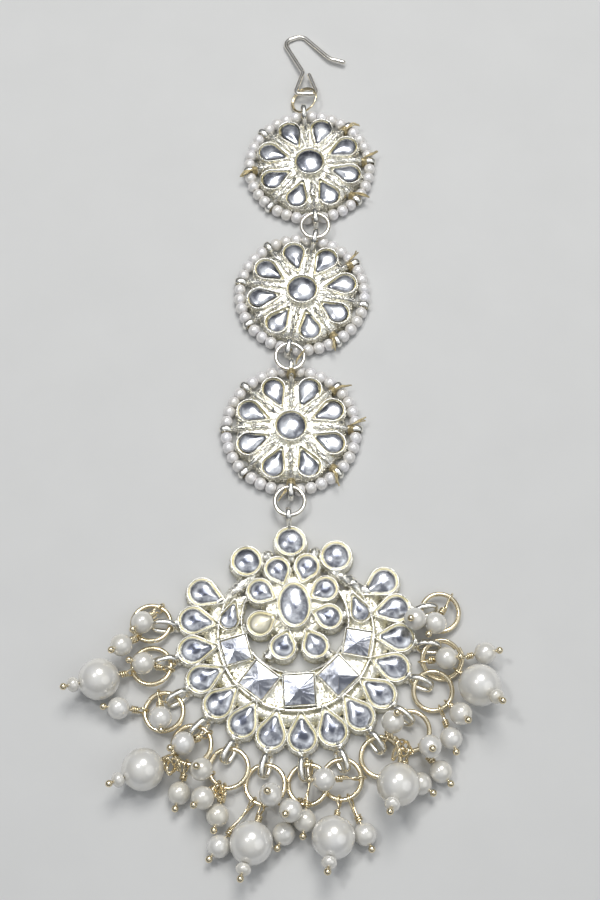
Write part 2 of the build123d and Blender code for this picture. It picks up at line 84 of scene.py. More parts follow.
# the pendant in millimetres, about the centre of the crescent's outer edge
CRESCENT_BOTTOM = 11.2      # from the centre down to the middle of the lowest square stone
CRESCENT = {"outer": (0.0, 15.3, 122.4), "inner": (2.6, 10.2, 123.3)}   # y, radius, half angle
CRESCENT_BED = 1.95         # height of the grained bed
CRESCENT_PEARS = 95         # its stones further than this from the bottom, in degrees, are pears
WEB = {"inner": (0.0, 15.2, 119), "outer": (0.0, 17.9, 119)}
DROP_EYELETS, DROP_EYELET_PITCH, DROP_EYELET_LEAN = range(-6, 7), 16.2, 34
DROP_EYELET = {"start": 23.2, "end": 28.5, "half": 1.7, "height": 1.75, "root": 22.5}
DROP_EYELET_WIDTH, DROP_EYELET_WALL = 1.35, 0.95
TOP_EYELET = {"start": 22.7, "end": 26.0, "half": 2.0, "height": 2.15, "root": 21.2}
FLOWER_PLATE, FLOWER_PLATE_HEIGHT = (6.4, 7.3), 2.3     # half its sizes
FRAME_RIDGE_WIDTH, FRAME_RIDGE_LEVELS = 2.3, (1.5, 2.9)
FRAME_RIDGES = (
    ((0.0, 14.2), (0.0, 17.2)), ((-6.2, 14.2), (-8.6, 11.6), (-12.3, 8.8), (-13.4, 6.6)),
    ((6.2, 14.2), (8.8, 11.6), (12.3, 9.2), (13.4, 6.6)), ((-12.6, 7.9), (-15.4, 6.9)),
    ((12.6, 8.4), (15.6, 7.6)), ((-4.6, -2.6), (-6.0, -5.0)), ((5.0, -2.8), (6.4, -5.4)),
    ((-9.0, 2.0), (-10.6, 1.6)), ((9.0, 3.2), (10.4, 3.0)), ((-3.6, 16.8), (-5.8, 15.4)),
    ((3.6, 16.8), (5.8, 15.4)), ((-4.2, 9.6), (-5.2, 11.0)), ((4.4, 9.4), (5.4, 10.8)),
)
# node, kind of stone, name of the row, share of the sloping wall inside its cups
PENDANT_ROWS = (
    ("pendant_crescent_stones", "crescent", "crescent", 0.72),
    ("pendant_petal_stones", "pear", "flower", 1.0),
    ("pendant_top_stones", "round", "top", 1.0),
    ("pendant_centre_stone", "oval", "oval", 1.0),
    ("pendant_fringe_stones", "pear", "fringe", 1.0),
)
# the flower's clouded stone lies left of and below this point
CLOUDED_CORNER, CLOUDING = (-5 * MM, 5 * MM), 0.8

SEED_HOLE = 0.3 * MM        # radius of a seed pearl's hole
SEED_GAP = 0.06 * MM        # between an eyelet and the seed pearls beside it
SEED_LEAN, SEED_CHANGE = math.radians(9), 0.06      # most that seed pearls lean and differ
# eyelets of each rosette that have thread wound round them, counted from +x
THREAD_WRAPS = {1: (0, 1, 4, 7), 2: (1, 7), 3: (0, 1, 2, 6, 7)}
# thread wound round an eyelet: where along it, in millimetres, how wide and how many turns
WRAP_REACH, WRAP_HALF_WIDTH, WRAP_TURNS = (11.75, 12.75), 0.78 * MM, 3.5
# a strand of a frayed end in millimetres, out over the beads, and the least height of its points
STRAND = ((12.3, 0.5, 2.55), (13.1, 0.7, 2.9), (14.2, 1.2, 3.0), (15.3, 1.9, 2.5))
STRAND_LEAST = (2.5, 2.8, 2.8, 1.6)
STRAND_LIFT = 1.4           # how much higher and further out it starts over a link's eyelet
# measures of the solid head pins
PIN_WIRE, PIN_HEAD = 0.2 * MM, 0.7 * MM     # radius of the wire and of the head
PIN_LOOP = 1.23 * MM        # from a pin's end to the middle of its loop
HEAD_END, LOOP_END = 1.3 * MM, 1.1 * MM     # lengths at a pin's ends that show how they lie
# paths of the finished pins
LOOP_RADIUS = 1.0 * MM      # from the middle of a loop to its wire
LOOP_RISE = 0.22 * MM       # how far a loop's start and end stand out of its plane
WRAP_GAP = 0.32 * MM        # from a pearl's skin to the first turn round the neck
WRAP_POINTS = 14            # points of the path in each turn round a neck
STEM_START, STEM_SHORT = 1.25 * MM, 0.4 * MM    # after the loop's middle, before the head's
PEARL_HOLE = 0.34 * MM      # radius of a pearl's hole
# half length and radius of a tip bead and radius of its hole
TIP_LENGTH, TIP_RADIUS, TIP_HOLE = 1.1 * MM, 1.45 * MM, 0.3 * MM
TIP_REACH = 1.16 * MM       # from a large pearl's skin to the middle of its tip bead
# knots of loose wire in the pendant's own axes: x, y, z, radius
TANGLES = ((18.3, -23.9, 6.3, 1.6), (-24.4, -24.2, 4.4, 1.3), (-16.2, -29.6, 3.4, 1.1))

# values painted on the points of a mesh, which the materials read
# recess also sets where painted shade darkens metal and stones; tone also sets the painted shade of
# a square stone's facets
PAINT = {"recess": 0.0, "tone": 0.5, "clouding": 0.0}


# ---- sizes and colours a user would change -------------------------------------------
def length(name, description, millimetres):
    """A length property, given in millimetres."""
    return FloatProperty(name=name, description=description, default=millimetres * MM,
                         unit="LENGTH", subtype="DISTANCE", precision=5)


def colour(name, description, value):
    return FloatVectorProperty(name=name, description=description, default=value,
                               subtype="COLOR", size=3, min=0.0, max=1.0)


class CastingSizes(bpy.types.PropertyGroup):
    """Sizes of the rosette and pendant castings."""
    cup_wall: length("Cup wall", "From a stone's edge to the outside of its cup", 0.61)
    petal_valley: length("Petal valley", "Width of the sloping wall inside a rosette cup", 0.58)
    pendant_valley: length("Pendant valley", "Width of the sloping wall inside a pendant cup", 0.72)
    ground_height: length("Ground height", "Height of the grained ground between cups", 2.45)
    ground_radius: length("Ground radius", "Radius of a rosette's grained ground", 11.3)
    bar_width: length("Eyelet width", "Width of an eyelet seen from above", 1.1)
    bar_wall: length("Eyelet wall", "Thickness of an eyelet's band", 0.6)
    grain_radius: length("Grain radius", "Radius of the largest grain on the ground", 0.27)
    grain_density: FloatProperty(name="Grain density", default=3.2,
                                 description="Grains on each square millimetre of ground")


class StringSizes(bpy.types.PropertyGroup):
    """Sizes of the seed pearls and their thread."""
    circle_radius: length("String radius", "From a rosette's centre to its thread", 13.4)
    height: length("String height", "Height of the thread above the floor", 1.32)
    bead_radius: length("Seed radius", "Radius of a seed pearl", 1.32)
    bead_length: length("Seed length", "Length of a seed pearl along its thread", 2.42)
    thread_radius: length("Thread radius", "Radius of the thread", 0.2)
    beads_per_petal: IntProperty(name="Seeds per petal", default=4,
                                 description="Seed pearls between two eyelets")


class WireSizes(bpy.types.PropertyGroup):
    """Sizes of the wires of the drops."""
    pin_radius: length("Pin radius", "Radius of a head pin's wire", 0.21)
    wrap_pitch: length("Wrap pitch", "Distance between two turns round a pin's neck", 0.44)
    wrap_turns: IntProperty(name="Wrap turns", default=3,
                            description="Turns of wire round a pin's neck")
    head_radius: length("Head radius", "Radius of a pin's ball head", 0.68)
    wire_sides: IntProperty(name="Wire sides", default=12, description="Sides of a wire")


class Colours(bpy.types.PropertyGroup):
    """Colours of the finishes."""
    pale_gilt: colour("Pale gilt", "Raised polished metal", (0.90, 0.885, 0.83))
    deep_gilt: colour("Deep gilt", "Yellower metal in the recesses", (0.62, 0.58, 0.40))
    # painted shade: the dark colour laid into the deepest corners and gaps of the castings
    tarnish: colour("Tarnish", "Dark metal in the deepest corners", (0.13, 0.11, 0.07))
    wire_gilt: colour("Wire gilt", "Jump rings and head pins", (0.86, 0.75, 0.53))
    hook_gilt: colour("Hook gilt", "Hair hook", (0.83, 0.80, 0.74))
    foil: colour("Foil", "Bright foil behind a stone", (0.885, 0.90, 0.935))
    # painted reflection shade: the dark colour painted on the stones' edges, clouds, middles and
    # facets
    foil_shade: colour("Foil shade", "Dark parts of a foiled stone", (0.038, 0.046, 0.078))
    clouded: colour("Clouded foil", "Foil behind a stone that has let in damp", (0.60, 0.56, 0.42))
    nacre: colour("Nacre", "Pearls of the drops", (0.80, 0.79, 0.76))
    warm_nacre: colour("Warm nacre", "Warmer patches of the pearls", (0.74, 0.70, 0.59))
    nacre_bloom: colour("Nacre bloom", "Pale bloom on a pearl's skin", (0.88, 0.86, 0.86))
    seed_white: colour("Seed white", "Seed pearls", (0.89, 0.88, 0.91))
    thread_gold: colour("Thread gold", "Gilt thread", (0.62, 0.53, 0.32))
    thread_brown: colour("Thread brown", "Darker strands of the thread", (0.50, 0.41, 0.23))
    floor: colour("Floor", "Surface that the tikka lies on", (0.62, 0.62, 0.61))


def sizes(group):
    """A property group of the scene, by its short name."""
    return getattr(bpy.context.scene, "tikka_" + group)


def tint(name):
    """A colour of the colour group, as a socket takes it."""
    return (*getattr(sizes("colours"), name), 1.0)


# ---- points --------------------------------------------------------------------------
def unit(arrow):
    return arrow / np.linalg.norm(arrow)


def circle(count):
    """Angles of a full turn."""
    return np.linspace(0, 2 * math.pi, count, endpoint=False)


def raised(points, z):
    """Plane points with a height."""
    return np.column_stack([points, np.broadcast_to(z, len(points))])


def smooth(path, times):
    """A path with its corners eased."""
    for _ in range(times):
        eased = path.copy()
        eased[1:-1] = (path[:-2] + 2 * path[1:-1] + path[2:]) / 4
        path = eased
    return path


def set_down(mesh, centre, turn):
    """Moves a mesh made about the origin to its place on the floor."""
    mesh.transform(Matrix.Translation((*centre, 0)) @ Matrix.Rotation(turn, 4, "Z"))
    return mesh


def solids(node):
    """Vertex clouds of the separate solids of a CAD node, in the order of their vertices."""
    mesh = bmesh.new()
    mesh.from_mesh(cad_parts[node].data)
    bmesh.ops.remove_doubles(mesh, verts=mesh.verts, dist=1e-6)
    seen, clouds = set(), []
    for first in mesh.verts:
        if first in seen:
            continue
        seen.add(first)
        stack, cloud = [first], []
        while stack:
            vertex = stack.pop()
            cloud.append(vertex.co[:])
            for edge in vertex.link_edges:
                other = edge.other_vert(vertex)
                if other not in seen:
                    seen.add(other)
                    stack.append(other)
        clouds.append(np.array(cloud))
    mesh.free()
    return clouds


def middle(cloud):
    return (cloud.min(0) + cloud.max(0)) / 2


def main_axes(cloud):
    """Directions of a cloud's spread, widest first."""
    return np.linalg.svd(cloud - cloud.mean(0), full_matrices=False)[2]


class Seat:
    """Place and size of one stone, measured from its solid; top is the rim of its cup."""

    def __init__(self, cloud, kind, angle=None):
        flat = cloud[:, :2] - middle(cloud)[:2]
        if angle is None:
            along = main_axes(flat)[0]
            across = flat @ np.array([-along[1], along[0]])
            ahead = flat @ along > 0
            if np.abs(across[ahead]).max() < np.abs(across[~ahead]).max():
                along = -along
            angle = math.atan2(along[1], along[0])
        axis = np.array([math.cos(angle), math.sin(angle)])
        side = np.array([-axis[1], axis[0]])
        run, rise = flat @ axis, flat @ side
        shift = axis * (run.max() + run.min()) / 2 + side * (rise.max() + rise.min()) / 2
        self.kind = kind
        self.angle = angle
        self.centre = middle(cloud)[:2] + shift
        self.length = run.max() - run.min()
        self.width = rise.max() - rise.min()
        self.top = cloud[:, 2].max() + RIM_LIFT

    def outline(self, inset, wall):
        """Outline of the cup round the stone, drawn inwards by inset, in the seat's axes."""
        long, wide = self.length + 2 * wall, self.width + 2 * wall
        if self.kind == "pear":
            return pear(long, wide, PEAR_TIP, inset)
        if self.kind == "square":
            return rounded_square(long, wide, SQUARE_CORNER, inset)
        turn = circle(56)
        return np.stack([(long / 2 - inset) * np.cos(turn), (wide / 2 - inset) * np.sin(turn)], 1)

    def place(self, points):
        """Points in the seat's axes, moved to the seat."""
        cos, sin = math.cos(self.angle), math.sin(self.angle)
        turned = points @ np.array([[cos, sin, 0], [-sin, cos, 0], [0, 0, 1]])
        return turned + np.array([self.centre[0], self.centre[1], 0])


def pear(long, wide, tip, inset):
    """Pear of two arcs and their tangents, with its small end towards -x."""
    big, small = wide / 2 - inset, tip - inset
    big_x, small_x = long / 2 - wide / 2, tip - long / 2
    least = 0.05 * MM + 0.9 * max(0.0, inset)
    if small < least:
        small_x += (least - small) / ((wide / 2 - tip) / (big_x - small_x))
        small = least
    edge = math.pi / 2 + math.asin(min(0.99, (big - small) / max(big_x - small_x, 1e-6)))
    round_end = np.linspace(-edge, edge, 31)
    tip_end = np.linspace(edge, 2 * math.pi - edge, 9)
    ends = [np.stack([big_x + big * np.cos(round_end), big * np.sin(round_end)], 1),
            np.stack([small_x + small * np.cos(tip_end), small * np.sin(tip_end)], 1)]
    step = np.linspace(0, 1, 10)[1:-1, None]
    to_tip = ends[0][-1] * (1 - step) + ends[1][0] * step
    to_round = ends[1][-1] * (1 - step) + ends[0][0] * step
    return np.concatenate([ends[0], to_tip, ends[1], to_round])


def rounded_square(long, wide, corner, inset):
    half_x, half_y = long / 2 - inset, wide / 2 - inset
    radius = max(corner - inset, 0.08 * MM)
    points = []
    for quarter, (sign_x, sign_y) in enumerate(((1, 1), (-1, 1), (-1, -1), (1, -1))):
        turns = np.linspace(0, math.pi / 2, 5) + quarter * math.pi / 2
        centre = np.array([sign_x * (half_x - radius), sign_y * (half_y - radius)])
        points.append(centre + radius * np.stack([np.cos(turns), np.sin(turns)], 1))
    return np.concatenate(points)


def inside(points, outline):
    """Which points lie inside a closed outline."""
    x, y = points[:, 0][:, None], points[:, 1][:, None]
    x1, y1 = outline[:, 0], outline[:, 1]
    x2, y2 = np.roll(x1, -1), np.roll(y1, -1)
    rise = np.where(y2 == y1, 1e-12, y2 - y1)
    crossing = ((y1 > y) != (y2 > y)) & (x < (x2 - x1) * (y - y1) / rise + x1)
    return crossing.sum(1) % 2 == 1


# ---- meshes --------------------------------------------------------------------------
class Shape:
    """Points and faces, with painted values for each point, gathered into one mesh."""

    def __init__(self):
        self.points, self.faces = [], []
        self.paint = {label: [] for label in PAINT}

    def add(self, points, **paint):
        """Adds points, and gives the number of the first."""
        start = len(self.points)
        self.points.extend(points)
        for label, default in PAINT.items():
            values = np.broadcast_to(paint.get(label, default), len(points))
            self.paint[label].extend(values.tolist())
        return start

    def loft(self, rings, recess=0.0, wrap=False, **paint):
        """Closed rings joined in order; the ends are flat, or wrap round to each other."""
        rows, count = len(rings), len(rings[0])
        recess = np.asarray(recess, float)
        recess = recess[:, None] if recess.ndim == 1 else recess
        start = len(self.points)
        for ring, values in zip(rings, np.broadcast_to(recess, (rows, count))):
            self.add(ring, recess=values, **paint)
        for row in range(rows if wrap else rows - 1):
            this, after = start + row * count, start + (row + 1) % rows * count
            for j in range(count):
                k = (j + 1) % count
                self.faces.append((this + j, this + k, after + k, after + j))
        if not wrap:
            last = start + (rows - 1) * count
            self.faces.append(tuple(range(start + count - 1, start - 1, -1)))
            self.faces.append(tuple(range(last, last + count)))

    def turned(self, profile, origin, along, sides, **paint):
        """A profile of distance and radius turned about a line."""
        side = unit(np.cross(along, [0.31, 0.52, 0.79]))
        turn = circle(sides)
        around = np.outer(np.cos(turn), side) + np.outer(np.sin(turn), np.cross(along, side))
        self.loft([origin + along * distance + radius * around for distance, radius in profile],
                  **paint)

    def mesh(self, name, sharp=math.radians(50)):
        made = bpy.data.meshes.new(name)
        made.from_pydata([tuple(p) for p in self.points], [], self.faces)
        for label, values in self.paint.items():
            made.attributes.new(label, "FLOAT", "POINT").data.foreach_set("value", values)
        bm = bmesh.new()
        bm.from_mesh(made)
        bmesh.ops.recalc_face_normals(bm, faces=bm.faces)
        bm.to_mesh(made)
        bm.free()
        made.shade_smooth()
        made.set_sharp_from_angle(angle=sharp)
        return made


def as_object(data, name, material=None):
    if material:
        data.materials.clear()
        data.materials.append(material)
    made = bpy.data.objects.new(name, data)
    bpy.context.scene.collection.objects.link(made)
    return made


def joined(name, objects):
    """Several mesh objects made one."""
    with bpy.context.temp_override(active_object=objects[0], object=objects[0],
                                   selected_editable_objects=objects, selected_objects=objects):
        bpy.ops.object.join()
    objects[0].name = name
    objects[0].data.name = name
    return objects[0]


def finished(piece, slot, *nodes):
    """Puts a piece on the only body, root, and hides the CAD nodes that it stands for."""
    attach(piece, "root")
    if nodes:
        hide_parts(*nodes)


# ---- node trees ----------------------------------------------------------------------
def once(maker):
    """A tree or material that is built the first time it is asked for."""
    kept = []

    def ask():
        if not kept:
            kept.append(maker())
        return kept[0]
    return ask


def feed(tree, socket, value):
    """Gives a socket a value, or links another node's output to it."""
    if isinstance(value, bpy.types.NodeSocket):
        tree.links.new(value, socket)
    else:
        socket.default_value = value


def add_node(tree, kind, inputs=None, **values):
    """A node whose inputs are values or other nodes' outputs, by name or number."""
    made = tree.nodes.new(kind)
    for key, value in values.items():
        setattr(made, key, value)
    for key, value in (inputs or {}).items():
        feed(tree, made.inputs[key], value)
    return made


def calculate(tree, operation, *values):
    return add_node(tree, "ShaderNodeMath", dict(enumerate(values)), operation=operation).outputs[0]


def vector(tree, x=0.0, y=0.0, z=0.0):
    return add_node(tree, "ShaderNodeCombineXYZ", {"X": x, "Y": y, "Z": z}).outputs[0]


def random_value(tree, low, high, seed):
    """A random number between two limits for each element."""
    return add_node(tree, "FunctionNodeRandomValue", {2: low, 3: high, "Seed": seed}).outputs[1]


def new_tree(name, **inputs):
    """A Geometry Nodes tree with a geometry input and output and the inputs named."""
    tree = bpy.data.node_groups.new(name, "GeometryNodeTree")
    tree.is_modifier = True
    sockets = [("Geometry", "OUTPUT", "Geometry"), ("Geometry", "INPUT", "Geometry")]
    sockets += [(label.replace("_", " "), "INPUT", kind) for label, kind in inputs.items()]
    for label, side, kind in sockets:
        tree.interface.new_socket(label, in_out=side, socket_type="NodeSocket" + kind)
    return tree, add_node(tree, "NodeGroupInput").outputs


def end_tree(tree, geometry, material):
    """Ends a tree: instances made real and given their material."""
    real = add_node(tree, "GeometryNodeRealizeInstances", {"Geometry": geometry})
    dressed = add_node(tree, "GeometryNodeSetMaterial",
                       {"Geometry": real.outputs[0], "Material": material})
    add_node(tree, "NodeGroupOutput", {"Geometry": dressed.outputs[0]})
    return tree


@once
def copies():
    """Copies of the incoming piece round a circle, in equal groups."""
    tree, given = new_tree(
        "copies round a circle", Copies="Int", Copies_in_a_Group="Int", Group_Turn="Float",
        Copy_Turn="Float", Start_Turn="Float", Radius="Float", Height="Float", Lean="Float",
        Size_Change="Float", Seed="Int", Material="Material")

    def value(operation, *values):
        return calculate(tree, operation, *values)

    index = add_node(tree, "GeometryNodeInputIndex").outputs[0]
    group = value("FLOOR", value("DIVIDE", index, given["Copies in a Group"]))
    within = value("MODULO", index, given["Copies in a Group"])
    turn = value("MULTIPLY_ADD", group, given["Group Turn"], given["Start Turn"])
    turn = value("MULTIPLY_ADD", within, given["Copy Turn"], turn)
    place = vector(tree, value("MULTIPLY", value("COSINE", turn), given["Radius"]),
                   value("MULTIPLY", value("SINE", turn), given["Radius"]), given["Height"])
    points = add_node(tree, "GeometryNodePoints", {"Count": given["Copies"], "Position": place})
    lean_down = value("MULTIPLY", given["Lean"], -1.0)
    leans = [random_value(tree, lean_down, given["Lean"], value("ADD", given["Seed"], offset))
             for offset in range(3)]
    facing = vector(tree, leans[0], leans[1], value("ADD", turn, leans[2]))
    smallest = value("SUBTRACT", 1.0, given["Size Change"])
    spread = add_node(tree, "GeometryNodeInstanceOnPoints", {
        "Points": points.outputs[0], "Instance": given["Geometry"], "Rotation": facing,
        "Scale": random_value(tree, smallest, 1.0, given["Seed"]),
    })
    toned = add_node(tree, "GeometryNodeStoreNamedAttribute", {
        "Geometry": spread.outputs[0], "Name": "tone",
        "Value": random_value(tree, 0.0, 1.0, value("ADD", given["Seed"], 7)),
    }, data_type="FLOAT", domain="INSTANCE")
    return end_tree(tree, toned.outputs[0], given["Material"])


@once
def wire_along():
    """Round wire along the incoming curves, with closed ends."""
    tree, given = new_tree("wire along a path", Radius="Float", Sides="Int", Material="Material")
    section = add_node(tree, "GeometryNodeCurvePrimitiveCircle",
                       {"Resolution": given["Sides"], "Radius": given["Radius"]})
    wire = add_node(tree, "GeometryNodeCurveToMesh", {
        "Curve": given["Geometry"], "Profile Curve": section.outputs[0], "Fill Caps": True,
    })
    rounded = add_node(tree, "GeometryNodeSetShadeSmooth", {"Geometry": wire.outputs[0]})
    return end_tree(tree, rounded.outputs[0], given["Material"])


@once
def grains_on():
    """Small grains of metal scattered on the incoming ground, where it is open."""
    tree, given = new_tree("grains on a ground", Density="Float", Grain_Radius="Float",
                           Seed="Int", Material="Material")
    uncovered = add_node(tree, "GeometryNodeInputNamedAttribute", {"Name": "open"},
                         data_type="FLOAT")
    points = add_node(tree, "GeometryNodeDistributePointsOnFaces", {
        "Mesh": given["Geometry"], "Seed": given["Seed"],
        "Density": calculate(tree, "MULTIPLY", given["Density"], uncovered.outputs[0]),
    })
    grain = add_node(tree, "GeometryNodeMeshUVSphere",
                     {"Segments": 6, "Rings": 3, "Radius": given["Grain Radius"]})
    grains = add_node(tree, "GeometryNodeInstanceOnPoints", {
        "Points": points.outputs[0], "Instance": grain.outputs[0],
        "Scale": random_value(tree, 0.45, 1.0, calculate(tree, "ADD", given["Seed"], 3)),
    })
    rounded = add_node(tree, "GeometryNodeSetShadeSmooth", {"Geometry": grains.outputs[0]})
    both = add_node(tree, "GeometryNodeJoinGeometry")
    tree.links.new(given["Geometry"], both.inputs[0])
    tree.links.new(rounded.outputs[0], both.inputs[0])
    return end_tree(tree, both.outputs[0], given["Material"])


def run_tree(source, tree, **values):
    """Runs a tree on an object and gives its result as a plain mesh; the object goes."""
    modifier = source.modifiers.new("make", "NODES")
    modifier.node_group = tree
    for item in tree.interface.items_tree:
        label = item.name.lower().replace(" ", "_")
        if item.in_out == "INPUT" and label in values:
            modifier[item.identifier] = values[label]
    source.update_tag()
    graph = bpy.context.evaluated_depsgraph_get()
    made = bpy.data.meshes.new_from_object(source.evaluated_get(graph), depsgraph=graph)
    bpy.data.objects.remove(source)
    return made


def wires(name, paths, radius, material, closed=False, sides=None):
    """Round wires along several paths of points, as one mesh."""
    curve = bpy.data.curves.new(name, "CURVE")
    curve.dimensions = "3D"
    for path in paths:
        spline = curve.splines.new("POLY")
        spline.points.add(len(path) - 1)
        for point, place in zip(spline.points, path):
            point.co = (*place, 1)
        spline.use_cyclic_u = closed
    return run_tree(as_object(curve, name), wire_along(), radius=radius, material=material,
                    sides=sides or sizes("wire").wire_sides)


# ---- materials -----------------------------------------------------------------------
LOOK_OUTPUTS = {"Color": "Color", "Roughness": "Float", "Height": "Float"}


def new_look(name, **inputs):
    """A shader group that gives colour, roughness and height; its inputs are colours or values."""
    group = bpy.data.node_groups.new(name, "ShaderNodeTree")
    for label, default in inputs.items():
        kind = "Color" if isinstance(default, tuple) else "Float"
        socket = group.interface.new_socket(label, in_out="INPUT", socket_type="NodeSocket" + kind)
        socket.default_value = default
    for label, kind in LOOK_OUTPUTS.items():
        group.interface.new_socket(label, in_out="OUTPUT", socket_type="NodeSocket" + kind)
    return group, add_node(group, "NodeGroupInput").outputs


def end_look(group, colour, roughness, height):
    add_node(group, "NodeGroupOutput", dict(zip(LOOK_OUTPUTS, (colour, roughness, height))))
    return group


def noise(tree, scale, detail=3.0, where=None):
    if where is None:
        where = add_node(tree, "ShaderNodeTexCoord").outputs["Object"]
    return add_node(tree, "ShaderNodeTexNoise", {
        "Vector": where, "Scale": scale, "Detail": detail, "Roughness": 0.55,
    }).outputs["Fac"]


def ramp(tree, value, low, high, to_low=0.0, to_high=1.0):
    """A value stretched from one range to another and held inside it."""
    return add_node(tree, "ShaderNodeMapRange", {
        "Value": value, "From Min": low, "From Max": high, "To Min": to_low, "To Max": to_high,
    }).outputs[0]


def blend(tree, factor, first, second):
    """Two colours mixed by a factor."""
    made = add_node(tree, "ShaderNodeMix", data_type="RGBA")
    for number, value in ((0, factor), (6, first), (7, second)):
        feed(tree, made.inputs[number], value)
    return made.outputs[2]


WHITE, BLACK = (1, 1, 1, 1), (0, 0, 0, 1)


@once
def worn_gilt_and_shade():
    """Gilt that is pale where it is rubbed and yellow in its recesses, with painted shade that
    darkens its deepest corners.
    """
    group, given = new_look("worn gilt and painted shade", Recess=0.0, Pale=WHITE, Deep=WHITE, Tarnish=BLACK,
                            Polish=0.2)
    cloud = noise(group, 420.0, 3.0)
    patches = noise(group, 1500.0, 4.0)
    yellow = calculate(group, "MULTIPLY_ADD", cloud, 0.9, -0.42)
    yellow = calculate(group, "MULTIPLY_ADD", given["Recess"], 0.85, yellow)
    metal = blend(group, ramp(group, yellow, 0.0, 0.8), given["Pale"], given["Deep"])
    # painted shade: the deepest recesses are darkened towards the shade colour
    corner = calculate(group, "MULTIPLY_ADD", patches, 0.6, given["Recess"])
    metal = blend(group, ramp(group, corner, 1.18, 1.5, 0.0, 0.85), metal, given["Tarnish"])
    rough = calculate(group, "MULTIPLY_ADD", patches, 0.22, given["Polish"])
    rough = calculate(group, "MULTIPLY_ADD", given["Recess"], 0.14, rough)
    height = calculate(group, "MULTIPLY_ADD", noise(group, 5200.0, 2.0), 0.35, patches)
    return end_look(group, metal, rough, height)


@once
def nacre():
    """Colour and grain of pearls: cool, with warm clouds."""
    group, given = new_look("nacre", Tone=0.5, Cool=WHITE, Warm=WHITE)
    warmth = calculate(group, "MULTIPLY_ADD", noise(group, 260.0, 3.0), 1.5, -0.62)
    warmth = calculate(group, "MULTIPLY_ADD", given["Tone"], 0.45, warmth)
    body = blend(group, ramp(group, warmth, 0.0, 1.0), given["Cool"], given["Warm"])
    skin = noise(group, 900.0, 3.0)
    body = blend(group, ramp(group, skin, 0.3, 0.7, 0.0, 0.08), body, tint("nacre_bloom"))
    return end_look(group, body, ramp(group, skin, 0.3, 0.7, 0.19, 0.23), skin)


@once
def foil():
    """Crinkled foil under a clear stone, with painted reflection shade: dark clouds, and a dark
    edge or middle, painted in for the dark surroundings that the stone mirrors.

    Edge runs from the middle to the edge, Depth darkens the middle with painted shade, Facets
    paints shade on the facets by tone.
    """
    group, given = new_look("foil", Edge=0.0, Tone=0.5, Clouding=0.0, Depth=0.0, Facets=0.0,
                            Bright=WHITE, Shade=BLACK, Clouded=WHITE)
    where = add_node(group, "ShaderNodeTexCoord").outputs["Object"]
    shift = vector(group, calculate(group, "MULTIPLY", given["Tone"], 0.05))
    moved = add_node(group, "ShaderNodeVectorMath", {0: where, 1: shift},
                     operation="ADD").outputs[0]
    broad = noise(group, 360.0, 1.0, moved)
    crinkle = noise(group, 1500.0, 2.0, moved)
    wander = calculate(group, "MULTIPLY_ADD", crinkle, 0.16, given["Edge"])
    # painted reflection shade: dark near the edge, in clouds, and in the middle of stones that take
    # it
    painted_edge_shade = calculate(group, "MULTIPLY", ramp(group, wander, 0.72, 1.08, 0.0, 0.92),
                          ramp(group, given["Depth"], 0.0, 1.0, 1.0, 0.55))
    painted_cloud_shade = ramp(group, calculate(group, "MULTIPLY_ADD", crinkle, 0.35, broad),
                      0.57, 0.82, 0.0, 0.78)
    uneven = calculate(group, "MULTIPLY_ADD", broad, 1.1, given["Edge"])
    painted_middle_shade = calculate(group, "MULTIPLY", ramp(group, uneven, 1.20, 0.78, 0.0, 0.93),
                            given["Depth"])
    dark = calculate(group, "MAXIMUM", painted_edge_shade, painted_cloud_shade)
    dark = calculate(group, "MAXIMUM", dark, painted_middle_shade)
    silver = blend(group, dark, given["Bright"], given["Shade"])
    silver = blend(group, given["Clouding"], silver, given["Clouded"])
    shaded = calculate(group, "MULTIPLY", ramp(group, given["Tone"], 0.0, 1.0, 0.0, 0.85),
                       given["Facets"])
    silver = blend(group, shaded, silver, given["Shade"])
    rough = calculate(group, "MULTIPLY_ADD", given["Clouding"], 0.3,
                      ramp(group, crinkle, 0.3, 0.7, 0.15, 0.27))
    return end_look(group, silver, rough, calculate(group, "MULTIPLY_ADD", crinkle, 0.12, broad))


@once
def twisted_thread():
    """Gilt thread, twisted from fine strands."""
    group, _ = new_look("gilt thread")
    where = add_node(group, "ShaderNodeTexCoord").outputs["Object"]
    strands = add_node(group, "ShaderNodeTexWave",
                       {"Vector": where, "Scale": 900.0, "Distortion": 3.0, "Detail": 2.0})
    shade = noise(group, 1100.0, 3.0)
    gold = blend(group, ramp(group, shade, 0.35, 0.65), tint("thread_gold"), tint("thread_brown"))
    return end_look(group, gold, ramp(group, shade, 0.3, 0.7, 0.3, 0.55), strands.outputs["Fac"])


def new_material(name):
    """A material with a Principled shader, and its tree and shader."""
    made = bpy.data.materials.new(name)
    made.use_nodes = True
    tree = made.node_tree
    tree.nodes.clear()
    shader = tree.nodes.new("ShaderNodeBsdfPrincipled")
    add_node(tree, "ShaderNodeOutputMaterial", {"Surface": shader.outputs[0]})
    return made, tree, shader


def surface(name, look, inputs, relief, depth, **constants):
    """A material dressed by a look; an input given as text is read from that attribute."""
    made, tree, shader = new_material(name)
    fed = {label: add_node(tree, "ShaderNodeAttribute", attribute_name=value).outputs["Fac"]
           if isinstance(value, str) else value for label, value in inputs.items()}
    dress = add_node(tree, "ShaderNodeGroup", node_tree=look)
    for label, value in fed.items():
        feed(tree, dress.inputs[label], value)
    bump = add_node(tree, "ShaderNodeBump", {"Height": dress.outputs["Height"],
                                             "Strength": relief, "Distance": depth})
    for label, value in (("Base Color", dress.outputs["Color"]),
                         ("Roughness", dress.outputs["Roughness"]), ("Normal", bump.outputs[0])):
        tree.links.new(value, shader.inputs[label])
    for label, value in constants.items():
        shader.inputs[label.replace("_", " ")].default_value = value
    return made


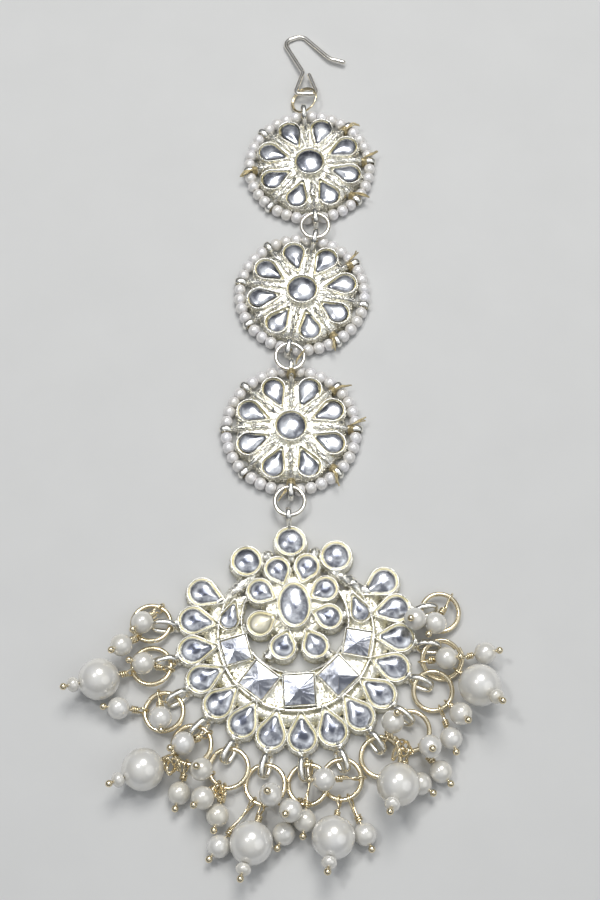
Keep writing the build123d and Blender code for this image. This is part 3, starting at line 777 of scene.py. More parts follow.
def gilt(name, pale, deep, polish, relief):
    """Gilt metal whose colours are named in the colour group."""
    inputs = {"Recess": "recess", "Pale": tint(pale), "Deep": tint(deep),
              "Tarnish": tint("tarnish"), "Polish": polish}
    return surface(name, worn_gilt_and_shade(), inputs, relief, 0.06 * MM, Metallic=1.0)


@once
def casting_gilt():
    return gilt("casting_gilt", "pale_gilt", "deep_gilt", 0.12, 0.35)


@once
def wire_gilt():
    return gilt("wire_gilt", "wire_gilt", "deep_gilt", 0.08, 0.08)


@once
def hook_gilt():
    return gilt("hook_gilt", "hook_gilt", "wire_gilt", 0.10, 0.10)


@once
def gilt_thread():
    return surface("gilt_thread", twisted_thread(), {}, 0.4, 0.08 * MM, Metallic=0.75)


def stone(name, depth, facets, relief):
    """Clear stone over foil with painted reflection shade; depth sets how much painted shade
    darkens the middle, and a faceted one has painted shade, darker on the facets of higher tone.
    """
    inputs = {"Edge": "recess", "Tone": "tone", "Clouding": "clouding", "Depth": depth,
              "Facets": facets, "Bright": tint("foil"), "Shade": tint("foil_shade"),
              "Clouded": tint("clouded")}
    return surface(name, foil(), inputs, relief, 0.2 * MM,
                   Metallic=1.0, Coat_Weight=0.6, Coat_Roughness=0.03)


# painted reflection shade at the edge and in clouds
@once
def foiled_stone():
    return stone("foiled_stone", 0.0, 0.0, 0.2)


# painted reflection shade also darkens the middle of these stones
@once
def deep_stone():
    return stone("deep_stone", 1.0, 0.0, 0.2)


# painted shade on the facets and in the middle
@once
def faceted_stone():
    return stone("faceted_stone", 0.8, 1.0, 0.45)


def pearl(name, cool, coat):
    """Nacre whose colour is named in the colour group."""
    inputs = {"Tone": "tone", "Cool": tint(cool), "Warm": tint("warm_nacre")}
    return surface(name, nacre(), inputs, 0.03, 0.03 * MM,
                   Metallic=0.25, Coat_Weight=coat, Coat_Roughness=0.08, Coat_IOR=1.7)


@once
def nacre_skin():
    return pearl("nacre", "nacre", 0.7)


@once
def seed_skin():
    return pearl("seed_white", "seed_white", 0.5)


# ---- stage ---------------------------------------------------------------------------
# name, place, width, power and colour of the round lamps, in metres and watts
LAMPS = (
    ("key", (0.06, 0.26, 0.60), 0.32, 2.2, (1.0, 0.99, 0.97)),
    ("spark", (-0.20, 0.02, 0.55), 0.07, 0.55, (1.0, 1.0, 1.0)),
    ("fill", (0.45, -0.20, 0.45), 0.60, 0.55, (0.96, 0.98, 1.0)),
)
SKY_LOW, SKY_HIGH = (0.10, 0.105, 0.115, 1.0), (0.66, 0.68, 0.71, 1.0)
# the camera looks at CAMERA_AIM on the floor, in millimetres
CAMERA_AIM, CAMERA_DISTANCE, CAMERA_ELEVATION = (3.25, -9.2), 288.7, math.radians(68)
LENS, FILM, NEAREST = 56.0, 36.0, 0.01


class TIKKA_OT_stage(bpy.types.Operator):
    """Pale floor, soft lamps and the camera"""
    bl_idname = "tikka.stage"
    bl_label = "Stage"

    def execute(self, context):
        scene = context.scene
        mesh = bpy.data.meshes.new("floor")
        mesh.from_pydata([(-3, -3, 0), (3, -3, 0), (3, 3, 0), (-3, 3, 0)], [], [(0, 1, 2, 3)])
        material, tree, shader = new_material("floor")
        darker = (*[channel * 0.97 for channel in tint("floor")[:3]], 1.0)
        shade = blend(tree, ramp(tree, noise(tree, 60.0, 4.0), 0.3, 0.7), tint("floor"), darker)
        tree.links.new(shade, shader.inputs["Base Color"])
        shader.inputs["Roughness"].default_value = 0.8
        as_object(mesh, "floor", material)

        world = bpy.data.worlds.new("studio")
        world.use_nodes = True
        tree = world.node_tree
        where = add_node(tree, "ShaderNodeTexCoord").outputs["Generated"]
        height = add_node(tree, "ShaderNodeSeparateXYZ", {0: where}).outputs["Z"]
        sky = blend(tree, ramp(tree, height, 0.45, 0.97), SKY_LOW, SKY_HIGH)
        seen = add_node(tree, "ShaderNodeLightPath").outputs["Is Camera Ray"]
        backdrop = blend(tree, seen, sky, tint("floor"))
        tree.links.new(backdrop, tree.nodes["Background"].inputs["Color"])
        scene.world = world

        for name, place, wide, power, colour in LAMPS:
            lamp = bpy.data.lights.new(name, "AREA")
            lamp.shape, lamp.size = "DISK", wide
            lamp.energy, lamp.color = power, colour
            made = as_object(lamp, name)
            made.location = place
            made.rotation_euler = (-Vector(place)).to_track_quat("-Z", "Y").to_euler()

        lens = bpy.data.cameras.new("camera")
        lens.lens, lens.sensor_width, lens.clip_start = LENS, FILM, NEAREST
        camera = as_object(lens, "camera")
        aim = Vector((CAMERA_AIM[0] * MM, CAMERA_AIM[1] * MM, 0))
        back = Vector((0, -math.cos(CAMERA_ELEVATION), math.sin(CAMERA_ELEVATION)))
        camera.location = aim + CAMERA_DISTANCE * MM * back
        camera.rotation_euler = (math.pi / 2 - CAMERA_ELEVATION, 0, 0)
        scene.camera = camera
        scene.view_settings.view_transform = "Standard"
        return {"FINISHED"}


class TIKKA_OT_hook(bpy.types.Operator):
    """Hair hook, kept as its solid with its own finish"""
    bl_idname = "tikka.hook"
    bl_label = "Hair hook"

    def execute(self, context):
        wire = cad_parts["hook"]
        wire.data.materials.clear()
        wire.data.materials.append(hook_gilt())
        return {"FINISHED"}


# ---- cups, stones and castings -------------------------------------------------------
def cup_profile(height, valley):
    """Inset from the cup's outline, height and recess, from the foot over the rim."""
    share = (valley / MM - 0.34) / 0.48
    rows = [
        (0.00, None, 0.40), (0.00, 0.50, 0.20), (0.02, 0.20, 0.0), (0.06, 0.06, 0.0),
        (0.14, 0.00, 0.0), (0.22, 0.01, 0.0), (0.28, 0.09, 0.05), (0.32, 0.28, 0.50),
        (0.42, 0.52, 0.80), (0.56, 0.58, 0.75), (0.64, 0.46, 0.25), (0.71, 0.40, 0.0),
        (0.78, 0.44, 0.20), (0.84, 0.62, 1.0), (0.90, 1.05, 1.1),
    ]
    for inset, depth, recess in rows:
        edge = inset if inset < 0.3 else 0.3 + (inset - 0.3) * share
        yield edge * MM, 0.05 * MM if depth is None else height - depth * MM, recess


def add_cup(shape, seat, height, valley, wall, random):
    """One cup, with a rim that wanders a little as a hand-finished one does."""
    rings, recess = [], []
    for inset, z, value in cup_profile(height, valley):
        edge = seat.outline(inset, wall)
        turn = circle(len(edge))
        if not rings:
            waves = sum(random.normal(0, 1) * np.cos(k * turn + random.uniform(0, FULL_TURN)) / k
                        for k in range(2, 6))
        lift = waves * RIM_WANDER * (z > height / 2)
        rings.append(seat.place(raised(edge, z + lift)))
        recess.append(value)
    shape.loft(rings, recess)


def add_dome(shape, seat, valley, wall, tone, clouding=0.0):
    """A polished stone: a low dome with a steep edge, painted with its distance from the middle."""
    edge = seat.outline(valley - STONE_LAP, wall)
    centre = np.array([seat.length * (0.06 if seat.kind == "pear" else 0.0), 0.0])
    swell = 0.16 * min(seat.width, seat.length) / 2
    rows = [(1.0, -STONE_DEPTH), (1.0, -0.52 * MM), (0.985, -0.40 * MM), (0.95, -0.27 * MM),
            (0.90, -0.17 * MM)]
    for share in (0.84, 0.74, 0.62, 0.48, 0.33, 0.17, 0.04):
        rows.append((share, -0.13 * MM + swell * (1 - (share / 0.87) ** 2)))
    rings = [seat.place(raised(centre + (edge - centre) * share, seat.top + depth))
             for share, depth in rows]
    # the distance from the middle sets where the painted reflection shade falls
    shape.loft(rings, [share for share, _ in rows], tone=tone, clouding=clouding)


def add_pyramid(shape, seat, valley, wall, random):
    """A square stone of four slopes that meet at its middle, each a closed wedge.

    The top of a slope has three rows of five points and the apex, and its underside the same.
    """
    edge, rim = valley - STONE_LAP, seat.top - SQUARE_EDGE
    half_x, half_y = seat.length / 2 + wall - edge, seat.width / 2 + wall - edge
    corners = np.array([(half_x, half_y), (-half_x, half_y), (-half_x, -half_y), (half_x, -half_y)])
    apex = np.array([random.normal(0, 0.14), random.normal(0, 0.14)]) * MM
    # painted shade: each slope gets its own darkness, as if lit from one side
    facet_shades = random.permutation([0.0, 0.16, 0.34, 0.52])
    for side in range(4):
        first, second = corners[side], corners[(side + 1) % 4]
        outwards = unit((first + second) / 2) * 0.012 * MM
        top = []
        for share in (0.0, 0.34, 0.67):
            a, b = first + (apex - first) * share, second + (apex - second) * share
            for along in np.linspace(0, 1, 5):
                bow = 0.04 * MM * math.sin(math.pi * along) * math.sin(math.pi * (share + 0.2))
                top.append((*(a + (b - a) * along + outwards), rim + SQUARE_RISE * share + bow))
        top.append((*(apex + outwards), rim + SQUARE_RISE))
        top = np.array(top)
        base = raised(top[:, :2], seat.top - STONE_DEPTH)
        count = len(top)
        # painted shade also slants along each slope
        shade_slant = random.uniform(-0.4, 0.4)
        number = np.arange(count - 1)
        tone = np.full(2 * count, float(facet_shades[side]))
        tone[:count - 1] += shade_slant * (number % 5 / 4 - 0.5)
        # painted shade: darker towards the apex, through the stone material's dark middle
        recess = np.full(2 * count, 0.3)
        recess[:count - 1] = 0.68 - 0.3 * (number // 5)
        recess[count - 1] = 0.0
        start = shape.add(seat.place(np.vstack([top, base])), recess=recess, tone=tone)
        cells = [(a, a + 1, a + 6, a + 5) for a in (0, 1, 2, 3, 5, 6, 7, 8)]
        cells += [(10 + j, 11 + j, count - 1) for j in range(4)]
        for cell in cells:
            shape.faces.append(tuple(start + v for v in cell))
            shape.faces.append(tuple(start + count + v for v in reversed(cell)))
        outline = [0, 1, 2, 3, 4, 9, 14, count - 1, 10, 5]
        for a, b in zip(outline, outline[1:] + outline[:1]):
            shape.faces.append((start + b, start + a, start + count + a, start + count + b))


def add_skirt(shape, seat, wall, height):
    """A narrow sloping fillet round the foot of a cup, which carries grains."""
    rows = ((-0.2, None, 0.6), (-0.2, 0.4, 0.35), (-0.14, 0.52, 0.2), (-0.03, 0.66, 0.2),
            (0.25, 0.66, 0.3), (0.25, None, 0.6))
    rings = [seat.place(raised(seat.outline(inset * MM, wall), FOOT if z is None else z * height))
             for inset, z, _ in rows]
    shape.loft(rings, [recess for *_, recess in rows], wrap=True)


def add_eyelet(shape, start, end, half, height, root, thickness, wall, turn, lean=0.0):
    """A cast loop on edge with a shank back into the casting; start to root are in mm."""
    start, end, half, height, root = (value * MM for value in (start, end, half, height, root))
    rotate = np.array(Euler((lean, 0, turn)).to_matrix())
    lift = np.array([0, 0, height])
    loop = circle(28)
    inner_end, outer_end = start + wall / 2, end - wall / 2
    cos, sin = (np.sign(f(loop)) * np.abs(f(loop)) ** 0.75 for f in (np.cos, np.sin))
    path = np.column_stack([(inner_end + outer_end) / 2 + (outer_end - inner_end) / 2 * cos,
                            np.zeros(len(loop)), (half - wall / 2) * sin]) @ rotate.T + lift
    ahead = np.roll(path, -1, 0) - np.roll(path, 1, 0)
    normal = unit(rotate @ np.array([0, 1, 0]))
    outwards = np.cross(ahead / np.linalg.norm(ahead, axis=1)[:, None], normal)
    section = circle(10)[:, None]
    shape.loft([point + out * wall / 2 * np.cos(section) + normal * thickness / 2 * np.sin(section)
                for point, out in zip(path, outwards)], wrap=True)
    section = circle(12)
    rings, recess = [], []
    for share, size in ((0.0, 0.55), (0.12, 0.85), (0.5, 1.0), (0.85, 0.95), (1.0, 0.6)):
        ring = np.column_stack([np.full(len(section), root + (inner_end - root) * share),
                                np.cos(section) * thickness * 0.5 * size,
                                np.sin(section) * half * 0.92 * size])
        rings.append(ring @ rotate.T + lift)
        recess.append(0.3 * (1 - share))
    shape.loft(rings, recess)


def add_ridge(shape, points, width, low, high, random, sides=11):
    """A lumpy mound of cast metal along a line, with rounded ends."""
    points = np.asarray(points, float)
    steps = np.concatenate([[0], np.cumsum(np.linalg.norm(np.diff(points, axis=0), axis=1))])
    reach = np.linspace(0, steps[-1], max(7, int(steps[-1] / (0.38 * MM))))
    line = np.column_stack([np.interp(reach, steps, points[:, k]) for k in (0, 1)])
    ahead = np.gradient(line, axis=0)
    ahead /= np.linalg.norm(ahead, axis=1)[:, None]
    arch = np.linspace(-1, 1, sides)
    rings = []
    for i, (point, run) in enumerate(zip(line, ahead)):
        taper = math.sqrt(max(0.04, 1 - abs(2 * i / (len(line) - 1) - 1) ** 4))
        swell = 1 + random.normal(0, 0.14)
        side = np.array([-run[1], run[0]])
        top = low + (high - low) * taper * (1 + random.normal(0, 0.07, sides)) \
            * np.sqrt(np.clip(1 - arch ** 2, 0, 1)) ** 0.8
        across = point + np.outer(arch * width / 2 * taper * swell, side)
        rings.append(np.vstack([raised(across, np.maximum(top, low)), raised(across[::-1], FOOT)]))
    shape.loft(rings, 0.1)


def add_ground(shape, outer, height, random, rows=38, columns=160):
    """A disc whose top is uneven and falls away near its edge, as a cast ground does."""
    turn = circle(columns)
    waves = [(random.integers(3, 30), random.uniform(0, FULL_TURN), random.uniform(300, 1500),
              random.uniform(0, FULL_TURN)) for _ in range(26)]
    rings = [np.column_stack([outer * np.cos(turn), outer * np.sin(turn), np.zeros(columns)])]
    for radius in np.linspace(outer, 0.4 * MM, rows):
        lumps = sum(np.sin(k * turn + a) * np.sin(f * radius + b) for k, a, f, b in waves)
        fall = max(0.0, (radius - 0.82 * outer) / (0.18 * outer))
        z = height * (1 - 0.45 * fall ** 2) + 0.12 * MM * lumps / math.sqrt(len(waves))
        rings.append(np.column_stack([radius * np.cos(turn), radius * np.sin(turn), z]))
    shape.loft(rings, [0.5] + [0.15] * rows)


def casting(name, node, cups, ground, seats, place, density, seed):
    """Joins cups and ground into one casting, with grains where no cup covers the ground."""
    given = sizes("casting")
    mesh = ground.mesh("ground")
    points = np.array([v.co[:] for v in mesh.vertices])
    open_top = (points[:, 2] > GRAIN_FLOOR).astype(float)
    for seat in seats:
        outline = seat.place(raised(seat.outline(0.0, given.cup_wall), 0.0))
        open_top[inside(points, outline)] = 0.0
    mesh.attributes.new("open", "FLOAT", "POINT").data.foreach_set("value", open_top)
    grained = run_tree(as_object(mesh, "ground"), grains_on(), grain_radius=given.grain_radius,
                       density=density * given.grain_density / MM ** 2, seed=seed,
                       material=casting_gilt())
    for vertex in grained.vertices:
        vertex.co.z = max(vertex.co.z, FLOOR_GAP)
    pieces = [as_object(place(cups.mesh("cups")), "cups", casting_gilt()),
              as_object(place(grained), "ground", casting_gilt())]
    finished(joined(name, pieces), "gilt_casting", node)


# ---- rosettes ------------------------------------------------------------------------
class Rosette:
    """Centre and turn of one rosette, measured from its stones."""

    def __init__(self, number):
        self.name = f"rosette_{number}"
        round_stone = solids(self.name + "_centre_stone")[0]
        petals = solids(self.name + "_petal_stones")
        self.centre = middle(round_stone)[:2]
        self.round = Seat(round_stone - [*self.centre, 0], "round", 0.0)
        angles = []
        for cloud in petals:
            x, y = middle(cloud)[:2] - self.centre
            angles.append(math.atan2(y, x))
        self.petal_count = len(petals)
        self.step = 2 * math.pi / self.petal_count
        self.turn = float(np.mean([angle % self.step - self.step / 2 for angle in angles]))
        first = petals[0] - [*self.centre, 0]
        self.petal = Seat(first, "pear", angles[0])
        self.petal_radius = float(np.hypot(*self.petal.centre))
        self.petal.angle, self.petal.centre = 0.0, np.zeros(2)

    def petal_seats(self, random):
        """Seats of the petals round the centre, each turned a little off true."""
        seats = []
        for petal in range(self.petal_count):
            seat = copy.copy(self.petal)
            seat.angle = (petal + 0.5) * self.step + random.normal(0, 0.012)
            seat.centre = self.petal_radius * np.array([math.cos(seat.angle),
                                                        math.sin(seat.angle)])
            seats.append(seat)
        return seats

    def place(self, mesh):
        return set_down(mesh, self.centre, self.turn)


class TIKKA_OT_rosettes(bpy.types.Operator):
    """Cast rosettes with their cups, grained grounds and eyelets"""
    bl_idname = "tikka.rosettes"
    bl_label = "Rosette castings"

    def execute(self, context):
        given = sizes("casting")
        wall, low = given.cup_wall, given.ground_height
        thread = sizes("string").circle_radius / MM
        string = {**STRING_EYELET, "start": thread - STRING_EYELET_REACH,
                  "end": thread + STRING_EYELET_REACH}
        for number in ROSETTES:
            rosette = Rosette(number)
            random = np.random.default_rng(10 + number)
            cups, ground = Shape(), Shape()
            petals = rosette.petal_seats(random)
            add_ground(ground, given.ground_radius, low, random)
            for seat in petals:
                add_cup(cups, seat, seat.top, given.petal_valley, wall, random)
                add_skirt(ground, seat, wall, seat.top)
            add_cup(cups, rosette.round, rosette.round.top, given.petal_valley, wall, random)
            add_skirt(ground, rosette.round, wall, rosette.round.top * 0.8)
            for step in range(rosette.petal_count):
                turn = step * rosette.step
                out = np.array([math.cos(turn), math.sin(turn)])
                add_ridge(ground, [out * reach * MM for reach in RIDGE_REACH],
                          RIDGE_WIDTH * MM, *(low + level * MM for level in RIDGE_LEVELS), random)
                link = step in LINK_STEPS
                add_eyelet(cups, **(LINK_EYELET if link else string), root=ROSETTE_EYELET_ROOT,
                           thickness=given.bar_width * (1.0 if link else STRING_EYELET_SHARE),
                           wall=given.bar_wall, turn=turn)
            casting(rosette.name + "_casting", rosette.name + "_frame", cups, ground,
                    [*petals, rosette.round], rosette.place, 1.0, number)
        return {"FINISHED"}


class TIKKA_OT_rosette_stones(bpy.types.Operator):
    """Foiled stones of the rosettes"""
    bl_idname = "tikka.rosette_stones"
    bl_label = "Rosette stones"

    def execute(self, context):
        given = sizes("casting")
        for number in ROSETTES:
            rosette = Rosette(number)
            petal, centre = Shape(), Shape()
            add_dome(petal, rosette.petal, given.petal_valley, given.cup_wall, 0.5)
            stones = run_tree(
                as_object(petal.mesh("petal_stone"), "petal_stone"), copies(),
                copies=rosette.petal_count, copies_in_a_group=1, group_turn=rosette.step,
                start_turn=rosette.step / 2, radius=rosette.petal_radius, lean=math.radians(3.0),
                size_change=0.03, seed=number * 5, material=foiled_stone())
            finished(as_object(rosette.place(stones), rosette.name + "_petal_domes"),
                     "foiled_stone", rosette.name + "_petal_stones")
            add_dome(centre, rosette.round, given.petal_valley, given.cup_wall, number / 3)
            finished(as_object(rosette.place(centre.mesh("round_stone")),
                               rosette.name + "_round_dome", foiled_stone()),
                     "foiled_stone", rosette.name + "_centre_stone")
        return {"FINISHED"}


def bead_mesh(radius, long, hole):
    """A drilled barrel bead along y."""
    shape, end = Shape(), 0.42 * math.pi
    rows = [(radius * math.cos(turn) ** 0.8, long / 2 * math.sin(turn) / math.sin(end))
            for turn in np.linspace(-end, end, 9)]
    rows = [(hole, rows[0][1] * 0.9)] + rows + [(hole, rows[-1][1] * 0.9)]
    turn = circle(16)
    shape.loft([np.column_stack([size * np.sin(turn), np.full(len(turn), y), size * np.cos(turn)])
                for size, y in rows])
    return shape.mesh("bead", math.radians(70))


class TIKKA_OT_seed_pearls(bpy.types.Operator):
    """Seed pearls on their gilt thread round each rosette"""
    bl_idname = "tikka.seed_pearls"
    bl_label = "Seed pearls"

    def execute(self, context):
        given = sizes("string")
        gap = sizes("casting").bar_width / 2 + given.bead_length / 2 + SEED_GAP
        first, per = gap / given.circle_radius, given.beads_per_petal
        for number in ROSETTES:
            rosette = Rosette(number)
            beads = run_tree(
                as_object(bead_mesh(given.bead_radius, given.bead_length, SEED_HOLE), "bead"),
                copies(), copies=per * rosette.petal_count, copies_in_a_group=per,
                group_turn=rosette.step, copy_turn=(rosette.step - 2 * first) / (per - 1),
                start_turn=first, radius=given.circle_radius, height=given.height,
                lean=SEED_LEAN, size_change=SEED_CHANGE, seed=number * 11, material=seed_skin())
            finished(as_object(rosette.place(beads), rosette.name + "_seeds"),
                     "seed_pearl", rosette.name + "_seed_pearls")
            turn = circle(160)
            path = np.column_stack([given.circle_radius * np.cos(turn),
                                    given.circle_radius * np.sin(turn),
                                    given.height + 0.05 * MM * np.sin(9 * turn)])
            mesh = wires("thread", [path], given.thread_radius, gilt_thread(),
                         closed=True, sides=8)
            finished(as_object(rosette.place(mesh), rosette.name + "_thread"), "gilt_wire")
        return {"FINISHED"}


def thread_wrap(random, half):
    """Turns of thread round an eyelet that lies along x; half is half the eyelet's height."""
    turn = np.linspace(0, WRAP_TURNS * 2 * math.pi, 64)
    loose = 1 + 0.06 * np.sin(turn * 1.7 + random.uniform(0, FULL_TURN))
    height = (half + 0.1 * MM) + (half + 0.03 * MM) * loose * np.sin(turn)
    return np.column_stack([np.linspace(*WRAP_REACH, len(turn)) * MM,
                            WRAP_HALF_WIDTH * loose * np.cos(turn),
                            np.maximum(height, 0.2 * MM)])


def thread_end(random, side, lift):
    """One strand of a frayed end that leaves an eyelet over the beads."""
    bends = np.array(STRAND) + np.array([lift, 0.4 * lift, lift])
    bends[:, 1] *= side
    bends[1:] += random.normal(0, 0.22, (3, 3)) * [1, 1, 0.5]
    bends[:, 2] = np.maximum(bends[:, 2], STRAND_LEAST)
    share = np.linspace(0, len(bends) - 1, 18)
    path = np.column_stack([np.interp(share, range(len(bends)), bends[:, k]) for k in range(3)])
    return smooth(path, 4) * MM


class TIKKA_OT_thread_ends(bpy.types.Operator):
    """Gilt thread wound round some eyelets, with frayed ends"""
    bl_idname = "tikka.thread_ends"
    bl_label = "Thread wraps and ends"

    def execute(self, context):
        for number, steps in THREAD_WRAPS.items():
            rosette = Rosette(number)
            random = np.random.default_rng(30 + number)
            paths = []
            for step in steps:
                rotate = np.array(Matrix.Rotation(step * rosette.step, 3, "Z"))
                link = step in LINK_STEPS
                half = (LINK_EYELET if link else STRING_EYELET)["half"] * MM
                side = random.choice([-1, 1])
                strands = [thread_end(random, side, STRAND_LIFT if link else 0.0)
                           for _ in range(random.integers(2, 6))]
                paths += [path @ rotate.T for path in [thread_wrap(random, half), *strands]]
            mesh = wires("wraps", paths, sizes("string").thread_radius * 0.8, gilt_thread(),
                         sides=6)
            finished(as_object(rosette.place(mesh), rosette.name + "_thread_wraps"), "gilt_wire")
        return {"FINISHED"}


# ---- pendant -------------------------------------------------------------------------
class Pendant:
    """Centre and turn of the pendant, measured from its stones."""

    def __init__(self):
        bottom = min(map(middle, solids("pendant_crescent_stones")), key=lambda spot: spot[1])[:2]
        top = max(map(middle, solids("pendant_top_stones")), key=lambda spot: spot[1])[:2]
        up = unit(top - bottom)
        self.turn = math.atan2(up[1], up[0]) - math.pi / 2
        self.centre = bottom + up * CRESCENT_BOTTOM * MM

    def seats(self, node, kind):
        """Seats of a node's stones in the pendant's own axes."""
        cos, sin = math.cos(-self.turn), math.sin(-self.turn)
        own_axes = np.array([[cos, sin, 0], [-sin, cos, 0], [0, 0, 1]])
        made = []
        for cloud in solids(node):
            cloud = (cloud - [*self.centre, 0]) @ own_axes
            x, y = middle(cloud)[:2]
            at_arm_end = abs(math.atan2(x, -y)) > math.radians(CRESCENT_PEARS)
            if kind == "pear" or kind == "crescent" and at_arm_end:
                made.append(Seat(cloud, "pear"))
            elif kind == "crescent":
                made.append(Seat(cloud, "square", math.atan2(y, x)))
            else:
                made.append(Seat(cloud, kind, math.pi / 2 if kind == "oval" else 0.0))
        return made

    def place(self, mesh):
        return set_down(mesh, self.centre, self.turn)


def arc(centre_y, radius, half_angle, count):
    """Points on an arc about the pendant's axis, from one arm to the other by the bottom."""
    half_angle = math.radians(half_angle)
    turn = np.linspace(-half_angle, half_angle, count) - math.pi / 2
    return np.column_stack([radius * MM * np.cos(turn), centre_y * MM + radius * MM * np.sin(turn)])


def arc_band(shape, inner, outer, profile, random):
    """A closed band between two curves; its profile is share, inset, height and recess."""
    rings = []
    for low, high in zip(inner, outer):
        width = np.linalg.norm(high - low)
        across = (high - low) / width
        ring = []
        for share, inset, z, _ in profile:
            spot = low + across * (share * width + inset * MM)
            lump = random.normal(0, 0.11) * (0 < share < 1)
            ring.append((spot[0], spot[1], (z + lump) * MM))
        rings.append(ring)
    shape.loft(rings, [[recess for *_, recess in profile]])


def crescent_profile(bed):
    """Inner rim, grained bed and outer rim of the crescent."""
    rim = [(0, 0.0, 0.0, 0.8), (0, 0.0, 2.45, 0.4), (0, 0.05, 2.75, 0.0), (0, 0.16, 2.9, 0.0),
           (0, 0.34, 2.88, 0.0), (0, 0.48, 2.6, 0.4), (0, 0.62, bed + 0.1, 0.9)]
    middle_rows = [(share, 0.0, bed, 0.4) for share in np.linspace(0.18, 0.82, 7)]
    return rim + middle_rows + [(1, -inset, z, recess) for _, inset, z, recess in reversed(rim)]


WEB_PROFILE = (
    (0, 0.0, 0.1, 0.9), (0, 0.0, 1.5, 0.5), (0.25, 0.0, 1.75, 0.4), (0.5, 0.0, 1.8, 0.4),
    (0.75, 0.0, 1.6, 0.5), (1, 0.0, 1.1, 0.7), (1, 0.0, 0.1, 0.9),
)


class TIKKA_OT_pendant(bpy.types.Operator):
    """Cast pendant: crescent, flower, fringe cups and eyelets"""
    bl_idname = "tikka.pendant"
    bl_label = "Pendant casting"

    def execute(self, context):
        given = sizes("casting")
        pendant = Pendant()
        random = np.random.default_rng(4)
        cups, ground, seats = Shape(), Shape(), []
        for node, kind, label, share in PENDANT_ROWS:
            for seat in pendant.seats(node, kind):
                seats.append(seat)
                add_cup(cups, seat, seat.top, given.pendant_valley * share, given.cup_wall, random)
                if label != "crescent":
                    add_skirt(ground, seat, given.cup_wall, seat.top)
        for step in DROP_EYELETS:
            add_eyelet(cups, **DROP_EYELET, thickness=DROP_EYELET_WIDTH * MM,
                       wall=DROP_EYELET_WALL * MM, turn=math.radians(DROP_EYELET_PITCH * step - 90),
                       lean=math.radians(-DROP_EYELET_LEAN if step > 0 else DROP_EYELET_LEAN))
        add_eyelet(cups, **TOP_EYELET, thickness=given.bar_width, wall=given.bar_wall,
                   turn=math.pi / 2)
        arc_band(ground, arc(*CRESCENT["inner"], 170), arc(*CRESCENT["outer"], 170),
                 crescent_profile(CRESCENT_BED), random)
        arc_band(ground, arc(*WEB["inner"], 120), arc(*WEB["outer"], 120), WEB_PROFILE, random)
        for line in FRAME_RIDGES:
            add_ridge(ground, np.array(line) * MM, FRAME_RIDGE_WIDTH * MM,
                      *(level * MM for level in FRAME_RIDGE_LEVELS), random)
        flower = next(seat for seat in seats if seat.kind == "oval").centre
        plate = Shape()
        add_ground(plate, 1.0 * MM, FLOWER_PLATE_HEIGHT * MM, random, rows=16, columns=90)
        start = ground.add([(x * FLOWER_PLATE[0] + flower[0], y * FLOWER_PLATE[1] + flower[1], z)
                            for x, y, z in plate.points], recess=0.5)
        ground.faces.extend(tuple(start + v for v in face) for face in plate.faces)
        casting("pendant_casting", "pendant_frame", cups, ground, seats, pendant.place, 0.8, 9)
        return {"FINISHED"}


class TIKKA_OT_pendant_stones(bpy.types.Operator):
    """Foiled stones of the pendant"""
    bl_idname = "tikka.pendant_stones"
    bl_label = "Pendant stones"

    def execute(self, context):
        given = sizes("casting")
        pendant = Pendant()
        random = np.random.default_rng(21)
        for node, kind, label, share in PENDANT_ROWS:
            domes, squares = Shape(), Shape()
            for seat in pendant.seats(node, kind):
                valley, tone = given.pendant_valley * share, random.uniform()
                if seat.kind == "square":
                    add_pyramid(squares, seat, valley, given.cup_wall, random)
                    continue
                clouded = label == "flower" and all(seat.centre < CLOUDED_CORNER)
                clouding = CLOUDING if clouded else 0.0
                add_dome(domes, seat, valley, given.cup_wall, tone, clouding)
            pieces = [(domes.mesh(label), f"pendant_{label}_domes", deep_stone())]
            if squares.points:
                pieces.append((squares.mesh("squares", math.radians(9)), "pendant_crescent_squares",
                               faceted_stone()))
            for mesh, name, material in pieces:
                finished(as_object(pendant.place(mesh), name, material), "foiled_stone", node)
        return {"FINISHED"}


# ---- rings ---------------------------------------------------------------------------
def ring_measures(node):
    """Centre, axis and mean radius of a ring's solid, and its wire's radius."""
    cloud = solids(node)[0]
    axes = main_axes(cloud)
    local = (cloud - cloud.mean(0)) @ axes.T
    half = (local.max(0) - local.min(0)) / 2
    centre = cloud.mean(0) + middle(local) @ axes
    normal = -axes[2] if axes[2][2] < 0 else axes[2]
    return centre, unit(normal), (half[0] + half[1]) / 2 - half[2], half[2]


def ring_path(centre, normal, radius, opening, turns, climb, spread):
    """Points of a ring whose cut is at an angle from +x, seen from above."""
    side = unit(np.cross([0.0, 1.0, 0.0], normal))
    along = np.cross(normal, side)
    half_gap, points_per_turn = 0.02, 72
    path = []
    for share in np.linspace(0, 1, int(points_per_turn * turns)):
        turn = opening + half_gap + share * (2 * math.pi * turns - 2 * half_gap)
        reach = radius + spread * (share - 0.5)
        path.append(centre + reach * (side * math.cos(turn) + along * math.sin(turn))
                    + normal * (climb * (share - 0.5)))
    return np.array(path)


# turns, climb and spread in millimetres, and share of the solid's wire
SINGLE_RING = (1.0, 0.16, 0.0, 1.04)
# rings of about two turns of thinner wire: the angle of the cut comes first
DOUBLE_RINGS = {
    "drop_ring_12": (0.6, 2.0, 0.75, 0.7, 0.72),
    "hook_ring": (0.9, 1.9, 0.4, 0.35, 0.62),
}


